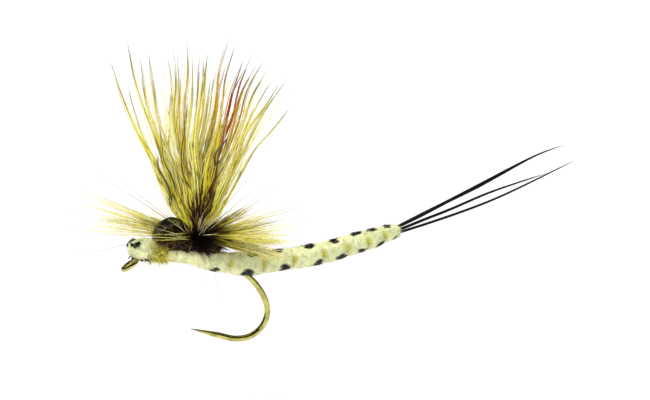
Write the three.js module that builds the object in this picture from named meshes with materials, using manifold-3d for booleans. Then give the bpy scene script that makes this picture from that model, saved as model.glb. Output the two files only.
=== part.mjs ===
// Dry fly: an extended-body mayfly tied on a barbless hook. Millimetres, +Z up.
// The origin is the middle of the hook's eye. The tails point along +X and the wing stands
// up along +Z. The shank, the body and the wing post all lie in the plane y = 0.

import * as THREE from 'three';
import { mergeVertices } from 'three/addons/utils/BufferGeometryUtils.js';
import Module from 'manifold-3d';

const wasm = await Module();
wasm.setup();

// ---------------------------------------------------------------- driving dimensions

const GAP = 0.05; // clearance between pieces that touch on the real fly

// Hook
const WIRE_RADIUS = 0.3;
const EYE_WIRE_RADIUS = 0.2;
const EYE_RADIUS = 0.84; // middle of the eye's wire
const EYE_TURN = THREE.MathUtils.degToRad(34); // how far the eye is turned down
const POINT_RADIUS = 0.03;
const FORGED_HALF_THICKNESS = 0.25; // the bend is pressed flat on both sides
const FORGED_MIDDLE = [14.2, 0, -4.7]; // the middle of the stretch that is pressed flat
const FORGED_LENGTH = 3;
const FORGED_HEIGHT = 4.6;
const HOOK_ROUTE = [
  [0.7, 0.47], [1.5, 0.82], [4.0, 0.8], [7.25, 0.3], [9.5, -0.22], [11.3, -0.86], [12.45, -1.7],
  [13.7, -3.35], [14.2, -4.95], [13.75, -6.45], [12.5, -7.5], [10.9, -7.75], [9.0, -7.32],
  [6.26, -6.62],
]; // x and z of the wire's middle, from the eye to the point

// Thread: the outside radius of each winding, and from where to where it runs
const SHANK_THREAD_RADIUS = 0.42;
const WHIP_FINISH_SPAN = [0.98, 1.5];
const SHANK_THREAD_SPAN = [1.6, 10.9];
const NECK_THREAD_RADIUS = 0.52;
const NECK_THREAD_SPAN = [2.5, 3.4];
const POST_THREAD_RADIUS = 0.7;
const POST_THREAD_BOTTOM = 1.6;
const POST_THREAD_TOP = 3.25;
const TAIL_THREAD_RADIUS = 0.32;
const TAIL_THREAD_SPAN = [25.8, 26.8];
const RIB_THREAD_RADIUS = 0.06;

// Felt body: x, z of the axis, half height and half width of each station
const BODY_START_X = 3.68;
const BODY_END_X = 28.0;
const BODY_STATIONS = [
  [BODY_START_X, 0.84, 0.56, 0.9], [5.0, 0.8, 0.7, 1.02], [6.4, 0.65, 0.8, 1.08],
  [8.0, 0.27, 0.95, 1.1], [10.1, -0.05, 1.08, 1.08], [12.5, -0.25, 1.15, 1.15],
  [15.3, 0.08, 1.08, 1.08], [18.4, 0.4, 1.12, 1.12], [21.2, 0.93, 1.07, 1.07],
  [23.6, 1.61, 1.06, 1.06], [25.2, 2.0, 0.98, 0.98], [26.7, 2.46, 0.8, 0.8],
  [27.6, 2.62, 0.58, 0.58], [BODY_END_X, 2.68, 0.3, 0.3],
];
const RIB_XS = [10.1, 13.55, 16.7, 19.8, 22.2, 24.4, 26.2]; // where a thread rib pinches the felt
const RIB_DEPTH = 0.1;
const RIB_HALF_LENGTH = 0.42;

// Abdomen flex: a ball on the rear felt turns in a socket in the front felt
const FLEX_X = 14.55;
const BALL_RADIUS = 1.24;
const SOCKET_RADIUS = 1.31;

// Head and neck, stations as on the body
const HEAD_STATIONS = [
  [-0.16, 1.84, 0.26, 0.3], [0.04, 1.78, 0.56, 0.62], [0.42, 1.65, 0.86, 0.92],
  [0.95, 1.55, 1.02, 1.06], [1.6, 1.49, 1.1, 1.12], [2.1, 1.42, 1.03, 1.05], [2.28, 1.36, 0.9, 0.95],
];
const NECK_START_X = 2.34;
const NECK_END_X = 3.6;
const NECK_STATIONS = [
  [NECK_START_X, 1.05, 0.74, 0.92], [2.9, 1.05, 0.8, 1.02], [NECK_END_X, 1.0, 0.72, 0.94],
];
const EYE_PATCH = { x: 0.45, y: 0.93, z: 2.06, radius: 0.42, thickness: 0.14 };

// Thorax dubbing: a saddle of fur over the top of the felt, heaped up in front of the post
const DUBBING_START_X = 2.9;
const DUBBING_END_X = 9.2;
const DUBBING_STATIONS = [
  [DUBBING_START_X, 2.06, 0.26, 0.55], [3.6, 2.06, 0.6, 1.05], [4.6, 2.06, 0.76, 1.2],
  [5.5, 1.9, 0.7, 1.28], [6.8, 1.68, 0.74, 1.36], [8.3, 1.42, 0.7, 1.2],
  [DUBBING_END_X, 1.26, 0.4, 0.7],
];

// Wing case: a strip that arches from the neck to the wing post.
// x and z of its middle, half thickness and half width
const WING_CASE_STATIONS = [
  [2.55, 2.12, 0.16, 0.5], [2.65, 3.0, 0.26, 0.85], [3.3, 3.78, 0.4, 1.02], [4.3, 4.15, 0.5, 1.05],
  [5.1, 4.05, 0.4, 0.9], [5.7, 3.75, 0.16, 0.65],
];

// Wing
const POST_X = 6.8;
const POST_RADIUS = 0.55;
const POST_STATIONS = [
  [0.87, POST_RADIUS, POST_RADIUS], [3.3, POST_RADIUS, POST_RADIUS],
  [3.9, 0.92, 0.66], [4.4, 1.3, 0.78], [4.95, 1.62, 0.86],
]; // z, half length along x and half width along y
const BUTTS_ROUTE = [[6.9, 1.2], [7.8, 0.97], [9.0, 0.62], [10.2, 0.22]]; // x and z
const BUTTS_FRONT_RADIUS = 0.3;
const BUTTS_REAR_RADIUS = 0.15;
const WING_PIVOT_Z = 3.05;
const FAN_RADIUS = 1.8; // the post's rounded top, struck from the wing pivot
const FIBRE_BASE_RADIUS = 0.16;
const FIBRE_MIDDLE_RADIUS = 0.3;
const FIBRE_TIP_RADIUS = 0.05;
const FIBRE_WAVE = 0.3; // how far a lock of fibres wanders off its line
const WING_ROW_Y = 0.42; // the locks stand in three rows
const WING_ROW_LEAN = THREE.MathUtils.degToRad(9);
const BASE_SPREAD = 1.25; // a lock's place on the post's top, per degree of its lean
const WING_LOCKS = [
  [-27, 19.0], [-21, 20.3], [-16, 18.4], [-10, 17.4], [-6.5, 17.6], [-3, 18.6], [1, 17.9],
  [5, 18.2], [10, 19.4], [13.5, 18.8], [17.5, 18.2], [22, 17.8], [27, 17.3], [33, 17.6],
]; // lean from upright in degrees, and height in millimetres measured from the pivot

// Hackle
const QUILL_RING_RADIUS = 0.93;
const QUILL_RADIUS = 0.15;
const HACKLES = [
  { name: 'hackle_golden', z: 2.68, phase: 0, colour: 0xb9ad3a },
  { name: 'hackle_grizzly', z: 3.04, phase: 0.5, colour: 0x4d4630 },
];
const BARBS_PER_HACKLE = 22;
const BARB_LENGTH = 11.2;
const BARB_ROOT_RADIUS = 0.07;
const BARB_TIP_RADIUS = 0.035;
const PARTING = THREE.MathUtils.degToRad(31); // the wing case parts the barbs this far each way

// Tails: the points that each fibre runs through, from base to tip, and its base radius
const TAILS = [
  {
    name: 'tail_upper',
    route: [[27.92, 0.1, 3.36], [35.9, 0.9, 6.83], [42.9, 1.7, 10.2], [45.8, 2.0, 11.05]],
    radius: 0.17,
  },
  {
    name: 'tail_middle',
    route: [[28.1, -0.05, 2.98], [37.4, -0.1, 6.3], [43.3, -0.2, 8.1]],
    radius: 0.13,
  },
  {
    name: 'tail_lower',
    route: [[28.16, -0.1, 2.5], [37.0, -1.0, 5.35], [45.8, -2.2, 9.5]],
    radius: 0.13,
  },
];
const TAIL_TIP_RADIUS = 0.03;
const FILAMENT_RADIUS = 0.15;

// ---------------------------------------------------------------- materials

function finish(colour, roughness, metalness = 0) {
  return new THREE.MeshStandardMaterial({ color: colour, roughness, metalness });
}

const bronze = finish(0x6b5f2e, 0.3, 1);
const felt = finish(0xe9ecc9, 0.95);
const creamThread = finish(0xd8d2a0, 0.7);
const blackThread = finish(0x1a1712, 0.6);
const blackInk = finish(0x14140f, 0.5);
const oliveFur = finish(0xa9a83c, 0.95);
const brownFur = finish(0x3a2114, 0.95);
const caseFilm = finish(0x0f0f0b, 0.35);
const wingHair = finish(0xc9b938, 0.6);
const rustHair = finish(0x7a3a12, 0.6);
const postHair = finish(0x4a3418, 0.7);
const tailHair = finish(0x0d0c0a, 0.4);
const filament = finish(0xd9d9cf, 0.25);

// ---------------------------------------------------------------- geometry helpers

const X_AXIS = new THREE.Vector3(1, 0, 0);
const Y_AXIS = new THREE.Vector3(0, 1, 0);
const Z_AXIS = new THREE.Vector3(0, 0, 1);

/** A closed body through a row of rings. Each ring runs anticlockwise seen from the far end. */
function loft(rings) {
  const sides = rings[0].length;
  const points = rings.flat();
  const indices = [];
  for (let k = 0; k < rings.length - 1; k++) {
    for (let i = 0; i < sides; i++) {
      const a = k * sides + i;
      const b = k * sides + ((i + 1) % sides);
      indices.push(a, b, b + sides, a, b + sides, a + sides);
    }
  }
  const lastRing = (rings.length - 1) * sides;
  const middle = (ring) => ring.reduce((sum, p) => sum.add(p), new THREE.Vector3()).divideScalar(sides);
  points.push(middle(rings[0]), middle(rings.at(-1)));
  for (let i = 0; i < sides; i++) {
    const next = (i + 1) % sides;
    indices.push(points.length - 2, next, i, points.length - 1, lastRing + i, lastRing + next);
  }
  const geometry = new THREE.BufferGeometry().setFromPoints(points);
  geometry.setIndex(indices);
  geometry.computeVertexNormals();
  return geometry;
}

/** An ellipse of points square to the direction of travel. */
function ring(centre, travel, up, height, width, sides) {
  const tall = up.clone().addScaledVector(travel, -up.dot(travel)).normalize();
  const wide = travel.clone().cross(tall);
  return Array.from({ length: sides }, (_, i) => {
    const angle = (2 * Math.PI * i) / sides;
    return centre.clone()
      .addScaledVector(tall, height * Math.cos(angle))
      .addScaledVector(wide, width * Math.sin(angle));
  });
}

/** A round bar along a curve, with its radius a function of the way along. */
function bar(curve, radiusAt, steps, sides, up = Y_AXIS) {
  const rings = [];
  for (let k = 0; k <= steps; k++) {
    const t = k / steps;
    const radius = radiusAt(t);
    rings.push(ring(curve.getPointAt(t), curve.getTangentAt(t), up, radius, radius, sides));
  }
  return loft(rings);
}

function curveThrough(points) {
  return new THREE.CatmullRomCurve3(points, false, 'centripetal');
}

/** A smooth function of x from rows that start with x. */
function smoothRows(rows) {
  const xs = rows.map((row) => row[0]);
  const values = rows.flatMap((row) => row.slice(1));
  const interpolant = new THREE.CubicInterpolant(xs, values, rows[0].length - 1);
  return (x) => Array.from(interpolant.evaluate(x));
}

/** A lump whose sections stand square to its axis, from rows of x, z, half height, half width. */
function lump(rowAt, xs, sides, grow = 0) {
  const step = 0.02;
  return loft(xs.map((x) => {
    const [z, height, width] = rowAt(x);
    const slope = (rowAt(x + step)[0] - rowAt(x - step)[0]) / (2 * step);
    const travel = new THREE.Vector3(1, 0, slope).normalize();
    return ring(new THREE.Vector3(x, 0, z), travel, Z_AXIS, height + grow, width + grow, sides);
  }));
}

function evenly(from, to, steps) {
  return Array.from({ length: steps + 1 }, (_, i) => from + ((to - from) * i) / steps);
}

/** A solid that can be joined and cut. */
function solid(geometry) {
  const bare = geometry.clone();
  bare.deleteAttribute('normal');
  bare.deleteAttribute('uv');
  const merged = mergeVertices(bare, 1e-5);
  return new wasm.Manifold(new wasm.Mesh({
    numProp: 3,
    vertProperties: new Float32Array(merged.attributes.position.array),
    triVerts: new Uint32Array(merged.index.array),
  }));
}

function geometryOf(manifold) {
  const mesh = manifold.getMesh();
  const geometry = new THREE.BufferGeometry();
  geometry.setAttribute('position', new THREE.BufferAttribute(mesh.vertProperties, 3));
  geometry.setIndex(new THREE.BufferAttribute(mesh.triVerts, 1));
  geometry.computeVertexNormals();
  return geometry;
}

function cut(body, ...tools) {
  return tools.reduce((left, tool) => left.subtract(tool), body);
}

function addMesh(group, name, geometry, material, position = [0, 0, 0]) {
  const mesh = new THREE.Mesh(geometry, material);
  mesh.name = name;
  mesh.position.set(...position);
  group.add(mesh);
  return mesh;
}

// ---------------------------------------------------------------- hook

const hookCurve = curveThrough(HOOK_ROUTE.map(([x, z]) => new THREE.Vector3(x, 0, z)));

/** The shank between two x positions, with its first or last part of the bend left out. */
function shankBetween(from, to) {
  const bendTop = -2;
  const onShank = (p) => p.z > bendTop && p.x >= from && p.x <= to;
  return curveThrough(hookCurve.getSpacedPoints(160).filter(onShank));
}

/** The wire thickens just behind the eye and tapers over its last stretch to the point. */
function wireRadius(t) {
  const neckEnd = 0.03;
  const taperStart = 0.88;
  if (t < neckEnd) return THREE.MathUtils.lerp(EYE_WIRE_RADIUS, WIRE_RADIUS, t / neckEnd);
  if (t < taperStart) return WIRE_RADIUS;
  const along = (t - taperStart) / (1 - taperStart);
  return THREE.MathUtils.lerp(WIRE_RADIUS, POINT_RADIUS, along ** 1.3);
}

/** The ring of wire that the tippet is tied to, tilted down and forward. */
function eyeRing(grow) {
  return new THREE.TorusGeometry(EYE_RADIUS, EYE_WIRE_RADIUS + grow, 7, 20).rotateY(-EYE_TURN);
}

function makeHook() {
  const wire = solid(bar(hookCurve, wireRadius, 46, 10));
  const eye = solid(eyeRing(0));
  const atBend = (width) => (
    solid(new THREE.BoxGeometry(FORGED_LENGTH, width, FORGED_HEIGHT).translate(...FORGED_MIDDLE))
  );
  const slab = (side) => (
    atBend(1).translate([0, side * (0.5 + FORGED_HALF_THICKNESS), 0])
  );
  return cut(wire.add(eye), slab(-1), slab(1));
}

/** A round bar that follows the shank: thread round it, or room for it inside other pieces. */
function alongShank(from, to, radius) {
  const stepLength = 1.1;
  const steps = Math.ceil((to - from) / stepLength);
  return solid(bar(shankBetween(from, to), () => radius, steps, 10));
}

function sleeve(from, to, radius) {
  return alongShank(from, to, radius).subtract(alongShank(from - 0.6, to + 0.6, WIRE_RADIUS + GAP));
}

// ---------------------------------------------------------------- wing post

/** The bundle of wing fibres below the fan, and their butts bound down along the shank. */
function makeWingPost(grow) {
  const upright = loft(POST_STATIONS.map(([z, halfX, halfY]) => {
    const centre = new THREE.Vector3(POST_X, 0, z);
    return ring(centre, Z_AXIS, X_AXIS, halfX + grow, halfY + grow, 12);
  }));
  const boxSize = 6;
  const roundTop = new THREE.CylinderGeometry(FAN_RADIUS, FAN_RADIUS, boxSize / 2, 28)
    .translate(POST_X, 0, WING_PIVOT_Z);
  const below = new THREE.BoxGeometry(boxSize, boxSize, boxSize)
    .translate(POST_X, 0, WING_PIVOT_Z - boxSize / 2);
  const butts = bar(
    curveThrough(BUTTS_ROUTE.map(([x, z]) => new THREE.Vector3(x, 0, z))),
    (t) => THREE.MathUtils.lerp(BUTTS_FRONT_RADIUS, BUTTS_REAR_RADIUS, t) + grow, 4, 8,
  );
  return solid(upright).intersect(solid(roundTop).add(solid(below))).add(solid(butts));
}

function ringSleeve(inner, outer, bottom, top) {
  const corners = [[inner, bottom], [outer, bottom], [outer, top], [inner, top], [inner, bottom]];
  const profile = corners.map(([radius, height]) => new THREE.Vector2(radius, height));
  return new THREE.LatheGeometry(profile, 14).rotateX(Math.PI / 2);
}

// ---------------------------------------------------------------- felt body

const bodyRow = smoothRows(BODY_STATIONS);

/** The body's row at x, pinched where each thread rib goes round. */
function ribbedRow(x) {
  const [z, height, width] = bodyRow(x);
  const pinch = RIB_XS.reduce((sum, ribX) => {
    const away = Math.abs(x - ribX) / RIB_HALF_LENGTH;
    return sum + (away < 1 ? RIB_DEPTH * Math.cos((away * Math.PI) / 2) : 0);
  }, 0);
  return [z, height - pinch, width - pinch];
}

/** Stations that fall on each rib and on both sides of it, plus the body's own ends. */
function bodyXs(from, to) {
  const offsets = [-1, -0.35, 0.35, 1].map((part) => part * RIB_HALF_LENGTH);
  const middles = RIB_XS.slice(1).map((x, i) => (x + RIB_XS[i]) / 2);
  const atRibs = RIB_XS.flatMap((x) => offsets.map((offset) => x + offset));
  const fore = evenly(from, 9.2, 6).filter((x) => x < 9.3);
  const all = [from, to, ...fore, ...middles, ...atRibs, 27.3, 27.7];
  return [...new Set(all)].filter((x) => x >= from && x <= to).sort((a, b) => a - b);
}

function feltPiece(from, to) {
  return solid(lump(ribbedRow, bodyXs(from, to), 12));
}

function ball(radius) {
  const centre = [FLEX_X, 0, bodyRow(FLEX_X)[0]];
  return solid(new THREE.SphereGeometry(radius, 16, 10).rotateX(Math.PI / 2).translate(...centre));
}

function filamentRoom(from, to, radius, lift = 0) {
  const points = evenly(from, to, 6).map((x) => new THREE.Vector3(x, 0, bodyRow(x)[0] + lift));
  return bar(curveThrough(points), () => radius, Math.ceil((to - from) / 2.4), 7);
}

/** Thread going once round the felt at a rib. */
function ribGeometry(x) {
  const radius = bodyRow(x)[1] - RIB_DEPTH + RIB_THREAD_RADIUS + GAP;
  return new THREE.TorusGeometry(radius, RIB_THREAD_RADIUS, 4, 18);
}

function addRib(group, number) {
  const x = RIB_XS[number - 1];
  const slope = (bodyRow(x + 0.05)[0] - bodyRow(x - 0.05)[0]) / 0.1;
  const mesh = addMesh(group, `rib_thread_${number}`, ribGeometry(x), creamThread, [x, 0, bodyRow(x)[0]]);
  mesh.rotation.y = Math.PI / 2 - Math.atan(slope);
}

// ---------------------------------------------------------------- wing, hackle and tails

/** One lock of wing fibres, measured from the wing pivot. */
function lockGeometry(index) {
  const [leanDegrees, reach] = WING_LOCKS[index];
  const lean = THREE.MathUtils.degToRad(leanDegrees);
  const row = (index % 3) - 1;
  const base = FAN_RADIUS + GAP + 0.02;
  const baseLean = lean * BASE_SPREAD;
  const start = new THREE.Vector3(base * Math.sin(baseLean), row * WING_ROW_Y, base * Math.cos(baseLean));
  const spread = row * Math.tan(WING_ROW_LEAN);
  const end = new THREE.Vector3(Math.sin(lean), spread, Math.cos(lean)).multiplyScalar(reach);
  const points = evenly(0, 1, 8).map((t) => {
    const point = start.clone().lerp(end, t);
    point.x += FIBRE_WAVE * t * Math.sin(2 * Math.PI * t * 1.2 + index);
    return point;
  });
  const radiusAt = (t) => {
    const swell = FIBRE_MIDDLE_RADIUS - FIBRE_BASE_RADIUS;
    if (t < 0.5) return FIBRE_BASE_RADIUS + swell * Math.sin(t * Math.PI);
    return THREE.MathUtils.lerp(FIBRE_MIDDLE_RADIUS, FIBRE_TIP_RADIUS, 2 * t - 1);
  };
  return bar(curveThrough(points), radiusAt, 7, 5);
}

/** A barb from the quill ring, at an angle round the post measured from the fly's head end. */
function barbGeometry(angle, number) {
  const lift = THREE.MathUtils.degToRad(8 + 6 * Math.cos(angle) + 4 * Math.sin(2.4 * number));
  const out = new THREE.Vector3(-Math.cos(angle), -Math.sin(angle), 0);
  const length = BARB_LENGTH + 0.8 * Math.sin(1.7 * number);
  const points = [0, 0.45, 1].map((t) => (
    out.clone().multiplyScalar(QUILL_RING_RADIUS + t * length * Math.cos(lift))
      .addScaledVector(Z_AXIS, length * (t * Math.sin(lift) - 0.05 * t * (1 - t)))
  ));
  const radiusAt = (t) => THREE.MathUtils.lerp(BARB_ROOT_RADIUS, BARB_TIP_RADIUS, t);
  return bar(curveThrough(points), radiusAt, 2, 4, Z_AXIS);
}

/** A feather wound round the post: its quill is a ring and its barbs stand out all round. */
function hackleGeometry(phase) {
  const quill = solid(new THREE.TorusGeometry(QUILL_RING_RADIUS, QUILL_RADIUS, 5, 18));
  const span = 2 * (Math.PI - PARTING);
  const barbs = Array.from({ length: BARBS_PER_HACKLE }, (_, i) => {
    const angle = PARTING + (span * (i + phase)) / BARBS_PER_HACKLE;
    return solid(barbGeometry(angle, i + phase));
  });
  return geometryOf(barbs.reduce((whole, barb) => whole.add(barb), quill));
}

function tailGeometry(tail) {
  const base = new THREE.Vector3(...tail.route[0]);
  const points = tail.route.map((place) => new THREE.Vector3(...place).sub(base));
  const radiusAt = (t) => THREE.MathUtils.lerp(tail.radius, TAIL_TIP_RADIUS, t ** 1.4);
  return bar(curveThrough(points), radiusAt, 8, 5);
}

// ---------------------------------------------------------------- assembly

const fly = new THREE.Group();
const root = new THREE.Group();
const abdomen = new THREE.Group();
const wing = new THREE.Group();
wing.position.set(POST_X, 0, WING_PIVOT_Z);
fly.add(root, abdomen, wing);

const hook = makeHook();
addMesh(root, 'hook', geometryOf(hook), bronze);

addMesh(root, 'whip_finish', geometryOf(sleeve(...WHIP_FINISH_SPAN, SHANK_THREAD_RADIUS)), blackThread);
addMesh(root, 'shank_thread', geometryOf(sleeve(...SHANK_THREAD_SPAN, SHANK_THREAD_RADIUS)), creamThread);
const neckWraps = alongShank(...NECK_THREAD_SPAN, NECK_THREAD_RADIUS)
  .subtract(alongShank(1.8, 4.2, SHANK_THREAD_RADIUS + GAP));
addMesh(root, 'neck_thread', geometryOf(neckWraps), blackThread);

const threadRoom = alongShank(0.9, 11.0, SHANK_THREAD_RADIUS + GAP);
const bareWireRoom = alongShank(10.4, 13.4, WIRE_RADIUS + GAP + 0.02);

function eyePatch(side, grow) {
  const { x, y, z, radius, thickness } = EYE_PATCH;
  const disc = new THREE.SphereGeometry(1, 12, 6).scale(radius + grow, radius + grow, thickness + grow);
  disc.lookAt(new THREE.Vector3(-0.35, side * 0.8, 0.42));
  return disc.translate(x, side * y, z);
}
const head = cut(
  solid(lump(smoothRows(HEAD_STATIONS), HEAD_STATIONS.map((row) => row[0]), 14)),
  threadRoom,
  solid(eyeRing(GAP)),
  alongShank(0.7, 1.4, WIRE_RADIUS + GAP),
  solid(eyePatch(-1, GAP)),
  solid(eyePatch(1, GAP)),
);
addMesh(root, 'head_felt', geometryOf(head), felt);
addMesh(root, 'eye_left', eyePatch(-1, 0), blackInk);
addMesh(root, 'eye_right', eyePatch(1, 0), blackInk);

const neckXs = evenly(NECK_START_X, NECK_END_X, 3);
const neckLump = (grow) => solid(lump(smoothRows(NECK_STATIONS), neckXs, 12, grow));
const neck = cut(neckLump(0), threadRoom, alongShank(2.4, 3.5, NECK_THREAD_RADIUS + GAP));
addMesh(root, 'neck_dubbing', geometryOf(neck), oliveFur);

const postRoom = makeWingPost(GAP);
const postThreadRoom = solid(
  new THREE.CylinderGeometry(POST_THREAD_RADIUS + GAP, POST_THREAD_RADIUS + GAP, 3, 16)
    .rotateX(Math.PI / 2).translate(POST_X, 0, 2.9),
);
const filamentFrontLift = 0.3;
const feltFront = cut(
  feltPiece(BODY_START_X, FLEX_X),
  threadRoom, bareWireRoom, postRoom, postThreadRoom,
  solid(filamentRoom(9.9, 13.2, FILAMENT_RADIUS + GAP, filamentFrontLift)),
  ball(SOCKET_RADIUS),
);
addMesh(root, 'body_felt_front', geometryOf(feltFront), felt);
addMesh(root, 'core_filament_front', filamentRoom(10.6, 13.05, FILAMENT_RADIUS, filamentFrontLift), filament);
addRib(root, 1);
addRib(root, 2);

const dubbing = cut(
  solid(lump(smoothRows(DUBBING_STATIONS), evenly(DUBBING_START_X, DUBBING_END_X, 8), 12)),
  solid(lump(bodyRow, evenly(3.5, 10.4, 6), 12, 3 * GAP)),
  neckLump(2 * GAP), postRoom, postThreadRoom,
);
addMesh(root, 'thorax_dubbing', geometryOf(dubbing), brownFur);

const caseCurve = curveThrough(WING_CASE_STATIONS.map(([x, z]) => new THREE.Vector3(x, 0, z)));
const caseRings = evenly(0, 1, 8).map((t) => {
  const place = t * (WING_CASE_STATIONS.length - 1);
  const before = Math.min(Math.floor(place), WING_CASE_STATIONS.length - 2);
  const size = (column) => THREE.MathUtils.lerp(
    WING_CASE_STATIONS[before][column], WING_CASE_STATIONS[before + 1][column], place - before,
  );
  return ring(caseCurve.getPoint(t), caseCurve.getTangent(t), Y_AXIS, size(3), size(2), 10);
});
addMesh(root, 'wing_case', loft(caseRings), caseFilm);

addMesh(root, 'wing_post', geometryOf(makeWingPost(0)), postHair);
const postWraps = ringSleeve(
  POST_RADIUS + GAP, POST_THREAD_RADIUS, POST_THREAD_BOTTOM, POST_THREAD_TOP,
);
addMesh(root, 'post_thread', postWraps, blackThread, [POST_X, 0, 0]);
for (const { name, z, phase, colour } of HACKLES) {
  addMesh(root, name, hackleGeometry(phase), finish(colour, 0.6), [POST_X, 0, z]);
}

const allOfRear = new THREE.BoxGeometry(20, 6, 12).translate(FLEX_X + 10, 0, 1);
const feltRear = cut(
  feltPiece(FLEX_X - BALL_RADIUS - 0.1, BODY_END_X)
    .intersect(solid(allOfRear).add(ball(BALL_RADIUS))),
  solid(filamentRoom(FLEX_X - BALL_RADIUS - 0.3, 27.0, FILAMENT_RADIUS + GAP)),
  solid(filamentRoom(25.7, 27.0, TAIL_THREAD_RADIUS + GAP)),
);
addMesh(abdomen, 'body_felt_rear', geometryOf(feltRear), felt);
addMesh(abdomen, 'core_filament_rear', filamentRoom(13.6, 26.9, FILAMENT_RADIUS), filament);
const tailWraps = solid(filamentRoom(...TAIL_THREAD_SPAN, TAIL_THREAD_RADIUS))
  .subtract(solid(filamentRoom(25.6, 27.0, FILAMENT_RADIUS + GAP)));
addMesh(abdomen, 'tail_thread', geometryOf(tailWraps), blackThread);
for (let number = 3; number <= RIB_XS.length; number++) addRib(abdomen, number);

for (const tail of TAILS) addMesh(abdomen, tail.name, tailGeometry(tail), tailHair, tail.route[0]);

WING_LOCKS.forEach((_, index) => {
  const name = `wing_fibres_${String(index + 1).padStart(2, '0')}`;
  const rusty = index === 9 || index === 10;
  addMesh(wing, name, lockGeometry(index), rusty ? rustHair : wingHair);
});

export default fly;
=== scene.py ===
"""The looks of an extended-body mayfly dry fly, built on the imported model's frame.

Lengths are in millimetres here and become metres when a piece is made. The origin is the
middle of the hook's eye, +X runs to the tails and +Z up to the wing tips.
"""

import math

import bpy
import numpy as np
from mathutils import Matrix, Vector


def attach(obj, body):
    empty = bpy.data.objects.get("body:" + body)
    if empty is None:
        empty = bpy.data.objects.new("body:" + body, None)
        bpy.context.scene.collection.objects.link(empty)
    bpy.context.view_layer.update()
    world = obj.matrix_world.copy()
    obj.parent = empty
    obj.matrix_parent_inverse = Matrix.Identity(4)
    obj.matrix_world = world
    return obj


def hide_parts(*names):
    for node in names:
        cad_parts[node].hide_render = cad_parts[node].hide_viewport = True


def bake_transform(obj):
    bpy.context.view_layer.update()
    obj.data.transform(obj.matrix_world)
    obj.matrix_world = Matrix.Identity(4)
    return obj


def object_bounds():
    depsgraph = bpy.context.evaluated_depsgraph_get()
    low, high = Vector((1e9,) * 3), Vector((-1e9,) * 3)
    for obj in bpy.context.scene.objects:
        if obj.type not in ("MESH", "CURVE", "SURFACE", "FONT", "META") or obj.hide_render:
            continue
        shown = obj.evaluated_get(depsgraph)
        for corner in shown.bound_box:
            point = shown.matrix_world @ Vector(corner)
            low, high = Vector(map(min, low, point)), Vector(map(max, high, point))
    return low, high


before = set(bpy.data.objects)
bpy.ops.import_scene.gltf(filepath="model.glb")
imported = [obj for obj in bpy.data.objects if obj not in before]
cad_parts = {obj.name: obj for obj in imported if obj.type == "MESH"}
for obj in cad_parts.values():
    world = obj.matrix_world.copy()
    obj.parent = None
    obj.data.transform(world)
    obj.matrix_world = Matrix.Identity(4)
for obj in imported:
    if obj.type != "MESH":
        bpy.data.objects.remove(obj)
cad_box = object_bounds()

MM = 0.001
TURN = 2 * math.pi
rng = np.random.default_rng(12)

# ---------------------------------------------------------------- dimensions, as in the CAD

WIRE_RADIUS = 0.3
EYE_WIRE_RADIUS = 0.2
EYE_RADIUS = 0.84
EYE_TURN = math.radians(34)
POINT_RADIUS = 0.03
FORGED_HALF_THICKNESS = 0.25
HOOK_ROUTE = [
    (0.7, 0.47), (1.5, 0.82), (4.0, 0.8), (7.25, 0.3), (9.5, -0.22), (11.3, -0.86), (12.45, -1.7),
    (13.7, -3.35), (14.2, -4.95), (13.75, -6.45), (12.5, -7.5), (10.9, -7.75), (9.0, -7.32),
    (6.26, -6.62),
]  # x and z of the wire's middle

# x, z of the axis, half height, half width
BODY_STATIONS = [
    (3.68, 0.84, 0.56, 0.9), (5.0, 0.8, 0.7, 1.02), (6.4, 0.65, 0.8, 1.08), (8.0, 0.27, 0.95, 1.1),
    (10.1, -0.05, 1.08, 1.08), (12.5, -0.25, 1.15, 1.15), (15.3, 0.08, 1.08, 1.08),
    (18.4, 0.4, 1.12, 1.12), (21.2, 0.93, 1.07, 1.07), (23.6, 1.61, 1.06, 1.06),
    (25.2, 2.0, 0.98, 0.98), (26.7, 2.46, 0.8, 0.8), (27.6, 2.62, 0.58, 0.58), (28.0, 2.68, 0.3, 0.3),
]
HEAD_START_X = -0.16
HEAD_END_X = 2.28
HEAD_STATIONS = [
    (HEAD_START_X, 1.84, 0.26, 0.3), (0.04, 1.78, 0.56, 0.62), (0.42, 1.65, 0.86, 0.92),
    (0.95, 1.55, 1.02, 1.06), (1.6, 1.49, 1.1, 1.12), (2.1, 1.42, 1.03, 1.05),
    (HEAD_END_X, 1.36, 0.9, 0.95),
]
NECK_STATIONS = [(2.34, 1.05, 0.74, 0.92), (2.9, 1.05, 0.8, 1.02), (3.6, 1.0, 0.72, 0.94)]
DUBBING_STATIONS = [
    (2.9, 2.06, 0.26, 0.55), (3.6, 2.06, 0.6, 1.05), (4.6, 2.06, 0.76, 1.2), (5.5, 1.9, 0.7, 1.28),
    (6.8, 1.68, 0.74, 1.36), (8.3, 1.42, 0.7, 1.2), (9.2, 1.26, 0.4, 0.7),
]
# x, z, half thickness, half width
WING_CASE_STATIONS = [
    (2.55, 2.12, 0.16, 0.5), (2.65, 3.0, 0.26, 0.85), (3.3, 3.78, 0.4, 1.02), (4.3, 4.15, 0.5, 1.05),
    (5.1, 4.05, 0.4, 0.9), (5.7, 3.75, 0.16, 0.65),
]
RIB_XS = [10.1, 13.55, 16.7, 19.8, 22.2, 24.4, 26.2]
RIB_DEPTH = 0.1
RIB_HALF_LENGTH = 0.42
POST_X = 6.8
WING_PIVOT_Z = 3.05
BEND_START_X = 13.3  # where the felt starts to bend at the abdomen's flex, and where it ends
BEND_END_X = 15.8

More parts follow.
